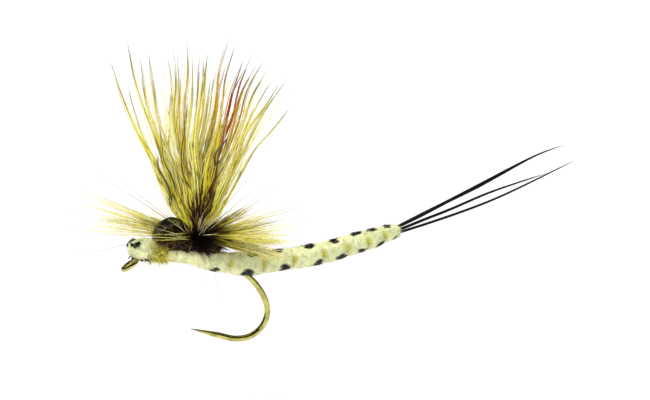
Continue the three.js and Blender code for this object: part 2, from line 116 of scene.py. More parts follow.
TAIL_ROUTES = {
    "tail_upper": [
        (27.0, 0.1, 2.7), (27.92, 0.1, 3.12), (35.9, 0.9, 6.65), (42.9, 1.7, 9.8), (45.8, 2.0, 10.7),
    ],
    "tail_middle": [
        (26.9, -0.05, 2.5), (28.1, -0.05, 2.85), (30.5, -0.06, 3.72), (33.1, -0.08, 4.64),
        (37.4, -0.1, 6.3), (43.3, -0.2, 8.1),
    ],
    "tail_lower": [(26.9, -0.1, 2.3), (28.16, -0.1, 2.58), (37.0, -1.0, 5.48), (45.8, -2.2, 9.57)],
}

# ---------------------------------------------------------------- numbers and curves


def colour(red, green, blue):
    """A screen colour, 0 to 255, as the linear colour that shaders take."""
    share = np.array([red, green, blue], float) / 255
    return np.where(share <= 0.04045, share / 12.92, ((share + 0.055) / 1.055) ** 2.4)


def unit(vectors):
    return vectors / np.maximum(np.linalg.norm(vectors, axis=-1, keepdims=True), 1e-12)


def smooth_rows(rows):
    """A smooth function of the first column through every row."""
    table = np.array(rows, float)
    xs, values = table[:, 0], table[:, 1:]
    slopes = np.gradient(values, xs, axis=0)

    def at(x):
        x = np.clip(np.asarray(x, float), xs[0], xs[-1])
        i = np.clip(np.searchsorted(xs, x) - 1, 0, len(xs) - 2)
        span = (xs[i + 1] - xs[i])[..., None]
        t = (x - xs[i])[..., None] / span
        return (
            (2 * t**3 - 3 * t**2 + 1) * values[i]
            + (t**3 - 2 * t**2 + t) * span * slopes[i]
            + (3 * t**2 - 2 * t**3) * values[i + 1]
            + (t**3 - t**2) * span * slopes[i + 1]
        )

    return at


def curve_through(points, count):
    """Points spaced evenly on a smooth curve through the given points."""
    points = np.array(points, float)
    steps = np.linalg.norm(np.diff(points, axis=0), axis=1) ** 0.5
    places = np.concatenate([[0], np.cumsum(steps)])
    at = smooth_rows(np.column_stack([places, points]))
    fine = at(np.linspace(0, places[-1], 40 * len(points)))
    lengths = np.concatenate([[0], np.cumsum(np.linalg.norm(np.diff(fine, axis=0), axis=1))])
    wanted = np.linspace(0, lengths[-1], count)
    return np.column_stack([np.interp(wanted, lengths, fine[:, k]) for k in range(3)])


def ripple(points, size, seed, waves=14):
    """Smooth random heights from about -1 to 1 at the points, in bumps about size across."""
    local = np.random.default_rng(seed)
    directions = unit(local.normal(size=(waves, 3)))
    directions = directions * (TURN / size) * local.uniform(0.6, 1.5, (waves, 1))
    phases = local.uniform(0, TURN, waves)
    return np.sin(points @ directions.T + phases).sum(axis=-1) * 1.4 / waves**0.5


# ---------------------------------------------------------------- meshes


def tubes(paths, radii, sides=4):
    """Points and faces of closed tapered tubes. paths is tubes x points x 3, radii tubes x points."""
    tangents = unit(np.gradient(paths, axis=1))
    overall = paths[:, -1] - paths[:, 0]
    reference = np.eye(3)[np.argmin(np.abs(overall), axis=1)][:, None, :]
    across = unit(np.cross(tangents, np.broadcast_to(reference, tangents.shape)))
    other = np.cross(tangents, across)
    angles = TURN * np.arange(sides) / sides
    ring = (
        np.cos(angles)[:, None] * across[:, :, None, :]
        + np.sin(angles)[:, None] * other[:, :, None, :]
    )
    points = paths[:, :, None, :] + radii[:, :, None, None] * ring
    index = np.arange(points.shape[0] * points.shape[1] * sides).reshape(points.shape[:3])
    after = np.roll(index, -1, axis=2)
    quads = np.stack([index[:, :-1], after[:, :-1], after[:, 1:], index[:, 1:]], -1)
    faces = quads.reshape(-1, 4).tolist()
    faces += index[:, 0, ::-1].tolist() + index[:, -1].tolist()
    return points.reshape(-1, 3), faces


def skin(grid):
    """Points and faces of a closed skin. grid is rings x points round x 3, and the ends are capped."""
    rings, sides = grid.shape[:2]
    index = np.arange(rings * sides).reshape(rings, sides)
    after = np.roll(index, -1, axis=1)
    quads = np.stack([index[:-1], after[:-1], after[1:], index[1:]], -1)
    faces = quads.reshape(-1, 4).tolist()
    faces += [index[0, ::-1].tolist(), index[-1].tolist()]
    return grid.reshape(-1, 3), faces


def add_object(name, data):
    made = bpy.data.objects.new(name, data)
    bpy.context.scene.collection.objects.link(made)
    return made


def make_piece(name, shape, material, body, slot, stands_for=(), tint=None, **fields):
    """An object from points and faces. Every point keeps its rest place, for the patterns. Body
    "bend" is the felt's: its transform is baked in and it is attached to no body."""
    points, faces = shape
    mesh = bpy.data.meshes.new(name)
    mesh.from_pydata((points * MM).tolist(), [], faces)
    mesh.polygons.foreach_set("use_smooth", [True] * len(mesh.polygons))
    rest = mesh.attributes.new("rest", "FLOAT_VECTOR", "POINT")
    rest.data.foreach_set("vector", points.astype(np.float32).ravel())
    if tint is not None:
        rgba = np.column_stack([tint.reshape(-1, 3), np.ones(len(points))])
        paint = mesh.attributes.new("tint", "FLOAT_COLOR", "POINT")
        paint.data.foreach_set("color", rgba.astype(np.float32).ravel())
    for key, values in fields.items():
        field = mesh.attributes.new(key, "FLOAT", "POINT")
        field.data.foreach_set("value", np.ravel(values).astype(np.float32))
    mesh.materials.append(material)
    mesh.update()
    made = add_object(name, mesh)
    if body == "bend":
        on_axis(BEND_START_X)
        on_axis(BEND_END_X)
        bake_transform(made)
    else:
        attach(made, body)
    if stands_for:
        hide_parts(*stands_for)


def make_strands(name, paths, radii, tints, material, sides=4, **options):
    """A piece of many fibres. paths is fibres x points x 3. The radii and the tints are stretched to
    every point, so they need only as many rows as differ."""
    shape = tubes(paths, np.broadcast_to(radii, paths.shape[:2]), sides)
    tint = np.repeat(np.broadcast_to(tints, paths.shape), sides, axis=1)
    make_piece(name, shape, material, tint=tint, **options)


def fuzz_paths(bases, directions, lengths, curl, steps):
    """Short bent fibres from each base, off in its direction and curling at random."""
    t = np.linspace(0, 1, steps)[None, :, None]
    bend = rng.normal(size=bases.shape) * curl
    twist = rng.normal(size=bases.shape) * curl * 0.6
    reach = lengths[:, None, None]
    return bases[:, None, :] + reach * (
        directions[:, None, :] * t + bend[:, None, :] * t**2 + twist[:, None, :] * t**3
    )


def lie_along(normals, lift, heading):
    """Random directions that lie on a surface, raised by lift and favouring a heading."""
    way = rng.normal(size=normals.shape) + np.array(heading)
    way = unit(way - (way * normals).sum(-1, keepdims=True) * normals)
    return unit(way * (1 - lift)[:, None] + normals * lift[:, None])


def taper(steps, root, tip, power=1.0):
    """The radius along a fibre, from its root to its tip."""
    t = np.linspace(0, 1, steps) ** power
    return root * (1 - t) + tip * t


def mix_tints(first, second, share):
    """One colour turning into another: share is how far, from 0 to 1, at each place."""
    share = np.asarray(share)[..., None]
    return np.asarray(first) * (1 - share) + np.asarray(second) * share


def step_smooth(low, high, x):
    """0 up to low, 1 from high on and smooth between. It falls instead if low is the greater."""
    t = np.clip((x - low) / (high - low), 0, 1)
    return t * t * (3 - 2 * t)


def on_axis(x):
    """The point of the body's axis at x, in metres."""
    return (x * MM, 0.0, float(body_row(x)[0]) * MM)


# ---------------------------------------------------------------- materials


def node(tree, kind, **settings):
    made = tree.nodes.new(kind)
    for key, value in settings.items():
        if key in made.inputs:
            made.inputs[key].default_value = value
        else:
            setattr(made, key, value)
    return made


def new_material(name, **constants):
    """A material with its constants set on the shader itself: returns it, its tree and its shader."""
    material = bpy.data.materials.new(name)
    material.use_nodes = True
    shader = material.node_tree.nodes["Principled BSDF"]
    for key, value in constants.items():
        shader.inputs[key].default_value = value
    return material, material.node_tree, shader


def attribute(tree, name, output="Fac"):
    return node(tree, "ShaderNodeAttribute", attribute_name=name).outputs[output]


def noise(tree, where, scale, detail=3.0, stretch=(1, 1, 1)):
    mapped = node(tree, "ShaderNodeMapping", Scale=stretch)
    made = node(tree, "ShaderNodeTexNoise", Scale=scale, Detail=detail)
    tree.links.new(where, mapped.inputs["Vector"])
    tree.links.new(mapped.outputs["Vector"], made.inputs["Vector"])
    return made.outputs["Fac"]


def remap(tree, value, low, high, to_low=0.0, to_high=1.0):
    made = node(tree, "ShaderNodeMapRange")
    made.inputs["From Min"].default_value = low
    made.inputs["From Max"].default_value = high
    made.inputs["To Min"].default_value = to_low
    made.inputs["To Max"].default_value = to_high
    tree.links.new(value, made.inputs["Value"])
    return made.outputs["Result"]


def maths(tree, operation, first, second):
    made = node(tree, "ShaderNodeMath", operation=operation)
    for socket, value in zip(made.inputs, (first, second)):
        if isinstance(value, (int, float)):
            socket.default_value = value
        else:
            tree.links.new(value, socket)
    return made.outputs["Value"]


def blend_colours(tree, share, first, second, way="MIX"):
    made = node(tree, "ShaderNodeMix", data_type="RGBA", blend_type=way)
    sockets = [made.inputs["Factor"], made.inputs[6], made.inputs[7]]
    for socket, value in zip(sockets, (share, first, second)):
        if isinstance(value, bpy.types.NodeSocket):
            tree.links.new(value, socket)
        elif socket is sockets[0]:
            socket.default_value = value
        else:
            socket.default_value = (*value, 1)
    return made.outputs[2]


def set_surface(tree, shader, base, gloss, roughness, height, strength, distance):
    """Links a colour, a bump and, where gloss is given, a roughness that follows it."""
    tree.links.new(base, shader.inputs["Base Color"])
    if gloss is not None:
        tree.links.new(remap(tree, gloss, 0.3, 0.7, *roughness), shader.inputs["Roughness"])
    made = node(tree, "ShaderNodeBump", Strength=strength, Distance=distance)
    tree.links.new(height, made.inputs["Height"])
    tree.links.new(made.outputs["Normal"], shader.inputs["Normal"])


def fibre_material(name, streak=0.35, roughness=(0.35, 0.6), **constants):
    """Hair and fur: the tint painted on the fibres, with fine streaks and specks of shade."""
    material, tree, shader = new_material(name, **constants)
    rest = attribute(tree, "rest", "Vector")
    tint = attribute(tree, "tint", "Color")
    fine = noise(tree, rest, 9.0, 4.0)
    shade = remap(tree, fine, 0.3, 0.7, 1 - streak, 1 + streak * 0.5)
    grey = node(tree, "ShaderNodeCombineColor")
    for channel in ("Red", "Green", "Blue"):
        tree.links.new(shade, grey.inputs[channel])
    base = blend_colours(tree, 1.0, tint, grey.outputs["Color"], "MULTIPLY")
    set_surface(tree, shader, base, fine, roughness, noise(tree, rest, 30.0), 0.3, 0.00002)
    return material


def felt_material():
    """Felt: matted fibres, with painted sheen paler along the top and the belly, and ink and ochre
    painted on.
    """
    material, tree, shader = new_material("felt", **{
        "Roughness": 0.95, "Sheen Weight": 0.08, "Subsurface Weight": 0.15,
        "Subsurface Radius": (0.0006, 0.0006, 0.0004),
    })
    rest = attribute(tree, "rest", "Vector")
    clouds = noise(tree, rest, 1.6, 3.0)
    matting = noise(tree, rest, 7.0, 5.0, (0.6, 1, 1.3))
    fine = noise(tree, rest, 26.0, 3.0)
    edge = maths(tree, "ADD", attribute(tree, "edge"), remap(tree, clouds, 0.3, 0.7, -0.3, 0.3))
    # painted sheen: the felt is painted paler along the top and the belly
    base = blend_colours(tree, remap(tree, edge, 0.1, 0.9), FELT_GREEN, FELT_SHEEN_PALE)
    mottled = blend_colours(tree, remap(tree, matting, 0.42, 0.62, 0, 0.6), base, FELT_WHITE)
    shaded = blend_colours(tree, remap(tree, fine, 0.55, 0.72, 0, 0.35), mottled, FELT_SHADE)
    ochre = maths(tree, "ADD", attribute(tree, "ochre"), remap(tree, matting, 0.3, 0.7, -0.35, 0.35))
    stained = blend_colours(tree, remap(tree, ochre, 0.0, 0.6, 0, 0.8), shaded, OCHRE)
    ragged = maths(tree, "ADD", attribute(tree, "ink"), remap(tree, fine, 0.3, 0.7, -0.35, 0.35))
    inked = blend_colours(tree, remap(tree, ragged, -0.02, 0.1), stained, INK)
    matted = maths(tree, "ADD", matting, fine)
    set_surface(tree, shader, inked, None, None, matted, 0.55, 0.0001)
    return material


def hook_material():
    """Bronzed wire: olive gold with darker, rubbed patches, fine drawing lines and a painted highlight
    of pale streaks along them.
    """
    material, tree, shader = new_material("hook_bronze", Metallic=1.0)
    rest = attribute(tree, "rest", "Vector")
    patches = noise(tree, rest, 1.4, 4.0)
    lines = noise(tree, rest, 16.0, 2.0, (0.25, 2.5, 0.25))
    base = blend_colours(tree, remap(tree, patches, 0.35, 0.65), BRONZE, BRONZE_DARK)
    # painted highlight: pale streaks along the wire's drawing lines
    highlit = blend_colours(tree, remap(tree, lines, 0.55, 0.75, 0, 0.45), base, BRONZE_HIGHLIGHT)
    set_surface(tree, shader, highlit, patches, (0.12, 0.24), lines, 0.06, 0.00003)
    return material


def film_material():
    """The wing case: a glossy black strip with fibres running along it, and olive streaks on it that
    are painted highlight.
    """
    material, tree, shader = new_material("wing_case_film", **{
        "Roughness": 0.28, "Specular IOR Level": 0.4, "Coat Weight": 0.15, "Coat Roughness": 0.15,
    })
    rest = attribute(tree, "rest", "Vector")
    fibres = noise(tree, rest, 5.0, 4.0, (0.3, 4.0, 0.3))
    blotches = noise(tree, rest, 2.0)
    dark = blend_colours(tree, remap(tree, fibres, 0.4, 0.7), FILM_BLACK, FILM_BROWN)
    # painted highlight: olive streaks where the blotches and the fibres meet
    streaks = maths(tree, "MULTIPLY", remap(tree, blotches, 0.45, 0.6), remap(tree, fibres, 0.5, 0.62))
    base = blend_colours(tree, streaks, dark, FILM_HIGHLIGHT_OLIVE)
    set_surface(tree, shader, base, fibres, (0.2, 0.4), fibres, 0.5, 0.00006)
    return material


def nylon_material():
    """The core filament, a CAD solid that stays. Its pattern is in metres, unlike the others'."""
    material, tree, shader = new_material("nylon")
    where = node(tree, "ShaderNodeTexCoord").outputs["Object"]
    grain = noise(tree, where, 900.0, 4.0)
    base = blend_colours(tree, remap(tree, grain, 0.35, 0.65), NYLON_LIGHT, NYLON_DARK)
    set_surface(tree, shader, base, grain, (0.15, 0.3), grain, 0.3, 0.00002)
    return material


FELT_GREEN = colour(190, 198, 142)
FELT_SHEEN_PALE = colour(234, 232, 172)
FELT_WHITE = colour(240, 242, 206)
FELT_SHADE = colour(182, 184, 116)
OCHRE = colour(180, 172, 44)
INK = colour(8, 10, 12)
BRONZE = colour(204, 198, 116)
BRONZE_DARK = colour(160, 152, 76)
BRONZE_HIGHLIGHT = colour(236, 232, 184)
FILM_BLACK = colour(6, 7, 8)
FILM_BROWN = colour(24, 20, 14)
FILM_HIGHLIGHT_OLIVE = colour(128, 122, 44)
CREAM_THREAD = colour(214, 206, 158)
RIB_THREAD = colour(218, 214, 156)
BLACK_THREAD = colour(18, 17, 18)
NYLON_LIGHT = colour(226, 226, 216)
NYLON_DARK = colour(196, 196, 180)

felt = felt_material()
bronze = hook_material()
film = film_material()
GLOSS = {"Specular IOR Level": 0.2}
GLOW = {
    "Subsurface Weight": 0.5, "Subsurface Radius": (0.0004, 0.0004, 0.0002), "Subsurface Scale": 1.0,
}

fibre = fibre_material("body_fibre", roughness=(0.75, 0.95), **GLOSS)
fur = fibre_material("fur", roughness=(0.55, 0.85), **GLOSS)
wing_hair = fibre_material("wing_hair", streak=0.25, roughness=(0.35, 0.55), **GLOSS, **GLOW)
barb_hair = fibre_material("barb_hair", streak=0.3, roughness=(0.35, 0.55), **GLOSS)
tail_hair = fibre_material("tail_hair", streak=0.5, roughness=(0.25, 0.4), **GLOSS)
thread = fibre_material("thread", streak=0.4, roughness=(0.5, 0.7), **GLOSS)
nylon = nylon_material()

# ---------------------------------------------------------------- hook


def wire_radii(count):
    """The wire's radius along it: thinner at the eye, even to the bend and tapered to the point."""
    t = np.linspace(0, 1, count)
    radii = np.full(count, WIRE_RADIUS)
    neck, taper_from = 0.03, 0.88
    radii = np.where(t < neck, EYE_WIRE_RADIUS + (WIRE_RADIUS - EYE_WIRE_RADIUS) * t / neck, radii)
    along = np.clip((t - taper_from) / (1 - taper_from), 0, 1)
    return np.where(t > taper_from, WIRE_RADIUS + (POINT_RADIUS - WIRE_RADIUS) * along**1.3, radii)


def make_hook():
    count, sides = 260, 36
    path = curve_through([(x, 0, z) for x, z in HOOK_ROUTE], count)
    wire, faces = tubes(path[None], wire_radii(count)[None], sides)
    x, y, z = wire.T
    on_bend = step_smooth(12.4, 12.9, x) * step_smooth(-2.2, -2.8, z) * step_smooth(-7.2, -6.7, z)
    flat = np.clip(y, -FORGED_HALF_THICKNESS, FORGED_HALF_THICKNESS)
    wire[:, 1] = y * (1 - on_bend) + flat * on_bend
    turn = TURN * np.arange(96) / 96
    centres = EYE_RADIUS * np.column_stack([np.cos(turn), np.sin(turn), np.zeros(96)])
    tube = TURN * np.arange(24) / 24
    ring = centres[:, None, :] + EYE_WIRE_RADIUS * (
        np.cos(tube)[None, :, None] * unit(centres)[:, None, :]
        + np.sin(tube)[None, :, None] * np.array([0, 0, 1.0])
    )
    cosine, sine = math.cos(-EYE_TURN), math.sin(-EYE_TURN)
    turned = ring @ np.array([[cosine, 0, -sine], [0, 1, 0], [sine, 0, cosine]])
    index = np.arange(len(turn) * len(tube)).reshape(len(turn), len(tube)) + len(wire)
    right, below = np.roll(index, -1, axis=1), np.roll(index, -1, axis=0)
    quads = np.stack([index, below, np.roll(below, -1, axis=1), right], -1).reshape(-1, 4)
    points = np.concatenate([wire, turned.reshape(-1, 3)])
    make_piece(
        "hook_wire", (points, faces + quads.tolist()), bronze, "root", "hook_bronze", ["hook"],
    )


make_hook()

# ---------------------------------------------------------------- felt body

body_row = smooth_rows(BODY_STATIONS)
head_row = smooth_rows(HEAD_STATIONS)

FUZZ_RADII = (0.013, 0.005)  # of a felt fibre, at its root and at its tip
# x, half length and half height of each black mark
TOP_MARKS = [
    (12.5, 0.76, 0.78), (15.3, 0.6, 0.7), (18.45, 0.74, 0.74), (21.2, 0.6, 0.78), (23.6, 0.7, 0.66),
    (25.3, 0.54, 0.66), (26.75, 0.4, 0.64),
]
BELLY_MARKS = [
    (8.75, 0.5, 0.9), (11.9, 0.8, 1.2), (15.75, 0.64, 1.15), (19.25, 0.54, 1.08), (21.6, 0.54, 1.08),
    (23.7, 0.46, 0.95), (25.65, 0.48, 0.95), (27.3, 0.34, 0.85),
]


def lump_surface(row_at, x, angle):
    """Points and outward directions on a lump. Angle 0 is the top and a quarter turn is -Y."""
    z, high, wide = np.moveaxis(row_at(x), -1, 0)
    slope = (row_at(x + 0.02)[..., 0] - row_at(x - 0.02)[..., 0]) / 0.04
    tall = unit(np.stack([-slope, 0 * slope, np.ones_like(slope)], -1))
    side = np.array([0, -1.0, 0])
    cosine, sine = np.cos(angle)[..., None], np.sin(angle)[..., None]
    centre = np.stack([x, 0 * x, z], -1)
    points = centre + tall * high[..., None] * cosine + side * wide[..., None] * sine
    normals = unit(tall * cosine / high[..., None] + side * sine / wide[..., None])
    return points, normals


def places_round(start, end, rings, sides):
    """The x and the angle of every point of a skin from start to end."""
    around = np.arange(sides) * TURN / sides
    return np.meshgrid(np.linspace(start, end, rings), around, indexing="ij")


def scatter(row_at, span, count, turn=(0, TURN)):
    """Random places on a lump: their x, angles, points and outward directions."""
    x = rng.uniform(*span, count)
    angle = rng.uniform(*turn, count)
    return (x, angle, *lump_surface(row_at, x, angle))


def bumps(points, *sizes):
    """Heights of random bumps at the points. Each size is a height, a breadth and a seed."""
    return sum(high * ripple(points, broad, seed) for high, broad, seed in sizes)


def pinched_row(x):
    """The body's row at x, pulled in where a thread goes round and crowned in between."""
    values = np.array(body_row(x))
    away = np.abs(np.asarray(x)[..., None] - np.array(RIB_XS)) / RIB_HALF_LENGTH
    pinch = (RIB_DEPTH * np.exp(-1.6 * away**2)).sum(-1)
    values[..., 1:] = np.maximum(values[..., 1:] - pinch[..., None], 0.05)
    return values


def mark_field(x, angle, marks, middle):
    """How deep inside a mark each place is: 1 at its middle, 0 at its edge, below 0 outside."""
    field = np.full(x.shape, -1.0)
    away = (angle - middle + math.pi) % TURN - math.pi
    local = np.random.default_rng(5)
    for mark_x, half_length, half_arc in marks:
        for stroke in range(-3, 4):
            shift = local.uniform(-0.3, 0.3) * half_length
            arc = away * 1.05 - stroke * half_arc / 3.6 + local.uniform(-0.05, 0.05)
            along = x - mark_x - shift - local.uniform(-0.6, 0.6) * arc
            length = half_length * local.uniform(0.65, 1.0)
            field = np.maximum(field, 1 - np.hypot(along / length, arc / (half_arc * 0.32)))
    return field


def felt_fields(x, angle):
    """Where the felt is inked, where it is stained ochre, and how much paler it is painted: painted
    sheen near the top and the belly, and paler all round the front.
    """
    ink = np.maximum(mark_field(x, angle, TOP_MARKS, 0), mark_field(x, angle, BELLY_MARKS, math.pi))
    ochre = np.full(x.shape, -1.0)
    for rib_x in RIB_XS:
        for side in (math.pi / 2, -math.pi / 2):
            away = (angle - side + math.pi) % TURN - math.pi
            ochre = np.maximum(ochre, 1 - np.hypot((x - rib_x - 0.05) / 0.42, away * 1.05 / 0.7))
    # edge is near 1 at the top and the belly, where the paler felt is painted sheen, and high all round
    # the front
    edge = np.maximum(np.abs(np.cos(angle)) ** 1.5, 1.4 * step_smooth(8.6, 6.8, x))
    return ink, ochre, edge


def paint_fibres(x, angle):
    """Tints for fibres that grow from these places on the felt."""
    ink, ochre, edge = felt_fields(x, angle)
    # painted sheen: fibres near the top and the belly are painted paler, as the felt is
    base = mix_tints(FELT_GREEN, FELT_SHEEN_PALE, np.clip(edge + rng.normal(0, 0.25, x.shape), 0, 1))
    base = mix_tints(base, FELT_WHITE, rng.uniform(0, 0.8, x.shape))
    base = mix_tints(base, OCHRE, step_smooth(0.05, 0.6, ochre) * 0.75)
    return mix_tints(base, INK, step_smooth(-0.02, 0.08, ink))[:, None, :]


def make_body_felt():
    x, angle = places_round(BODY_STATIONS[0][0], BODY_STATIONS[-1][0], rings=330, sides=88)
    points, normals = lump_surface(pinched_row, x, angle)
    ink, ochre, edge = felt_fields(x, angle)
    height = bumps(points, (0.03, 1.1, 1), (0.015, 0.4, 2), (0.008, 0.16, 3))
    height = height + 0.03 * step_smooth(0, 0.2, ink)
    make_piece(
        "body_felt", skin(points + normals * height[..., None]), felt, "bend", "body_felt",
        ["body_felt_front", "body_felt_rear"], ink=ink, ochre=ochre, edge=edge,
    )
    count, steps = 8000, 4
    x, angle, bases, normals = scatter(pinched_row, (3.9, 27.9), count)
    ways = lie_along(normals, rng.uniform(0.0, 0.35, count) ** 1.8, (0.5, 0, 0))
    paths = fuzz_paths(bases - normals * 0.02, ways, rng.uniform(0.2, 0.5, count), 0.22, steps)
    make_strands(
        "body_fuzz", paths, taper(steps, *FUZZ_RADII), paint_fibres(x, angle), fibre, 3,
        body="bend", slot="body_felt",
    )


make_body_felt()

# ---------------------------------------------------------------- head

# middle and radius of each blot of an eye on the -Y side, and of the streak over the far brow
EYE_BLOTS = [
    ((0.66, -0.85, 2.2), 0.15), ((0.52, -0.87, 2.08), 0.2), ((0.32, -0.83, 1.94), 0.15),
    ((0.07, -0.6, 2.05), 0.08),
]
BROW_BLOTS = [
    ((-0.1, 0.3, 1.95), 0.13), ((0.04, 0.38, 2.14), 0.14), ((0.2, 0.42, 2.3), 0.13),
    ((0.42, 0.45, 2.4), 0.13), ((0.56, 0.48, 2.42), 0.1),
]
FAR_BLOTS = [((x, -y, z), radius) for (x, y, z), radius in EYE_BLOTS] + BROW_BLOTS


def eye_field(points):
    """How deep inside an eye blot each place is."""
    depth = np.full(points.shape[:-1], -1.0)
    for middle, radius in EYE_BLOTS + FAR_BLOTS:
        away = np.linalg.norm((points - middle) * (1, 0.5, 1), axis=-1)
        depth = np.maximum(depth, 1 - away / radius)
    return depth


def make_head():
    span, steps = (HEAD_START_X, HEAD_END_X), 5
    x, angle = places_round(*span, rings=70, sides=72)
    points, normals = lump_surface(head_row, x, angle)
    height = bumps(points, (0.04, 1.0, 11), (0.02, 0.4, 12), (0.01, 0.16, 13))
    points = points + normals * height[..., None]
    make_piece(
        "head_skin", skin(points), felt, "root", "body_felt", ["head_felt"],
        ink=eye_field(points), ochre=np.full(x.shape, -1.0),
        # painted sheen: the head is painted paler underneath
        edge=0.15 + 0.6 * step_smooth(0.2, -0.8, np.cos(angle)),
    )
    _, _, bases, normals = scatter(head_row, span, 1300)
    clear = eye_field(bases) < -0.6
    bases, normals = bases[clear], normals[clear]
    count = len(bases)
    ways = lie_along(normals, rng.uniform(0.02, 0.45, count) ** 1.6, (0.6, 0, 0))
    paths = fuzz_paths(bases, ways, rng.uniform(0.15, 0.5, count), 0.25, steps)
    tints = mix_tints(FELT_GREEN, FELT_WHITE, rng.uniform(0, 0.9, count))[:, None, :]
    make_strands(
        "head_fuzz", paths, taper(steps, *FUZZ_RADII), tints, fibre, 3,
        body="root", slot="body_felt",
    )
    for side, name, blots in ((-1, "eye_left", EYE_BLOTS), (1, "eye_right", FAR_BLOTS)):
        count = 110  # fibres in each blot
        bases = np.concatenate([
            np.array(middle) + rng.normal(size=(count, 3)) * radius * (0.4, 0.15, 0.4)
            for middle, radius in blots
        ])
        outward = unit(np.tile([-0.35, 0.8 * side, 0.42], (len(bases), 1)))
        ways = lie_along(outward, rng.uniform(0, 0.4, len(bases)), (0.3, 0, 0.3))
        paths = fuzz_paths(bases, ways, rng.uniform(0.06, 0.2, len(bases)), 0.3, steps)
        make_strands(
            name + "_ink", paths, taper(steps, 0.024, 0.012), INK, fibre,
            body="root", slot="eye_ink", stands_for=[name],
        )


make_head()

# ---------------------------------------------------------------- fur


def pick_tints(palette, count):
    """One colour of the palette for each fibre, at random."""
    return np.array(palette)[rng.integers(0, len(palette), count)][:, None, :]


def make_fur(name, stations, span, count, palette, length, stands_for, slot, seed, reach_down):
    """A lump of dubbed fur: a rough core and loose fibres lying round it, down to an angle."""
    row_at, steps, sunk = smooth_rows(stations), 6, 0.1
    x, angle = places_round(*span, rings=60, sides=64)
    points, normals = lump_surface(row_at, x, angle)
    height = bumps(points, (0.1, 0.8, seed), (0.05, 0.3, seed + 1))
    points = points + normals * (height[..., None] - sunk)
    shade = step_smooth(-0.6, 0.8, ripple(points, 0.35, seed + 2))
    make_piece(
        name, skin(points), fur, "root", slot, stands_for,
        tint=mix_tints(palette[0], palette[1], shade),
    )
    _, _, bases, normals = scatter(row_at, span, count, (-reach_down, reach_down))
    ways = lie_along(normals, rng.uniform(0.0, 0.6, count) ** 1.4, (0.5, 0, 0))
    lengths = rng.uniform(*length, count)
    paths = fuzz_paths(bases - normals * 0.12, ways, lengths, 0.3, steps)
    make_strands(
        name + "_fibres", paths, taper(steps, 0.022, 0.008), pick_tints(palette, count), fur,
        body="root", slot=slot,
    )


OLIVE_FUR = [
    colour(196, 186, 56), colour(230, 220, 96), colour(240, 236, 140), colour(206, 194, 60),
    colour(120, 100, 30),
]
BROWN_FUR = [
    colour(20, 12, 9), colour(56, 32, 18), colour(86, 52, 26), colour(34, 26, 18),
    colour(140, 124, 50),
]
make_fur(
    "neck_fur", NECK_STATIONS, (2.34, 3.6), 1100, OLIVE_FUR, (0.3, 0.8),
    ["neck_dubbing"], "olive_dubbing", seed=31, reach_down=math.pi,
)
make_fur(
    "thorax_fur", DUBBING_STATIONS, (2.9, 9.2), 3000, BROWN_FUR, (0.4, 1.1),
    ["thorax_dubbing"], "brown_dubbing", seed=41, reach_down=1.35,
)


def make_fur_collar():
    """Olive fur from the neck that has caught on the back of the head."""
    count, steps = 420, 6
    bare = 0.7  # the angle from the top of the head that has none
    turn = (bare, TURN - bare)
    _, _, bases, normals = scatter(head_row, (1.75, HEAD_END_X), count, turn)
    ways = lie_along(normals, rng.uniform(0.0, 0.3, count), (0.4, 0, -0.2))
    paths = fuzz_paths(bases, ways, rng.uniform(0.2, 0.5, count), 0.25, steps)
    make_strands(
        "neck_fur_collar", paths, taper(steps, 0.02, 0.008), pick_tints(OLIVE_FUR, count), fur,
        body="root", slot="olive_dubbing",
    )


make_fur_collar()

# ---------------------------------------------------------------- wing case


def make_wing_case():
    rings, sides = 90, 56
    table = np.array(WING_CASE_STATIONS)
    places = np.linspace(0, len(table) - 1, len(table))
    row_at = smooth_rows(np.column_stack([places, table]))
    t = np.linspace(0, len(table) - 1, rings)
    x, z, thick, wide = row_at(t).T
    centres = np.stack([x, 0 * x, z], -1)
    travel = unit(np.gradient(centres, axis=0))
    tall = np.cross(travel, np.array([0, 1.0, 0]))
    angle = TURN * np.arange(sides) / sides
    across = np.sign(np.cos(angle)) * np.abs(np.cos(angle)) ** 0.8
    through = np.sign(np.sin(angle)) * np.abs(np.sin(angle)) ** 0.9
    grooves = 1 + 0.05 * np.sin(angle * 11) + 0.03 * np.sin(angle * 23 + 1)
    grid = (
        centres[:, None, :]
        - wide[:, None, None] * (across * grooves)[None, :, None] * np.array([0, 1.0, 0])
        + thick[:, None, None] * (through * grooves)[None, :, None] * tall[:, None, :]
    )
    outward = grid[:, ::-1]  # in the other order its faces would look inwards
    make_piece("wing_case_strip", skin(outward), film, "root", "wing_case_film", ["wing_case"])


make_wing_case()

# ---------------------------------------------------------------- thread


def winding(path, radius, turns, steps_per_turn):
    """A helix wound round a path of points, at a radius from it."""
    count = int(turns * steps_per_turn)
    centres = curve_through(path, count)
    travel = unit(np.gradient(centres, axis=0))
    reference = np.array([0, 1.0, 0]) if abs(travel[0, 1]) < 0.5 else np.array([1.0, 0, 0])
    across = unit(np.cross(travel, reference))
    other = np.cross(travel, across)
    angle = (TURN * np.arange(count) / steps_per_turn)[:, None]
    return centres + radius * (np.cos(angle) * across + np.sin(angle) * other)


def make_thread(name, path, thickness, shade, body="root", stands_for=(), sides=8):
    twist = 0.75 + 0.35 * np.sin(np.arange(len(path)) * 1.7)
    make_strands(
        name, path[None], thickness, shade * twist[:, None], thread, sides, body=body,
        slot="black_thread" if shade is BLACK_THREAD else "cream_thread", stands_for=stands_for,
    )


def shank_path(start, end, count=20):
    path = curve_through([(x, 0, z) for x, z in HOOK_ROUTE[:6]], 400)
    inside = path[(path[:, 0] >= start) & (path[:, 0] <= end)]
    return inside[:: max(1, len(inside) // count)]


POST_ROUTE = [(POST_X, 0, z) for z in (1.6, 2.1, 2.7, 3.25)]
TIP_ROUTE = [(x, 0, float(body_row(x)[0])) for x in (25.8, 26.3, 26.8)]
FINE, COARSE = (BLACK_THREAD, 18, 8), (CREAM_THREAD, 12, 5)  # shade, points in a turn and sides
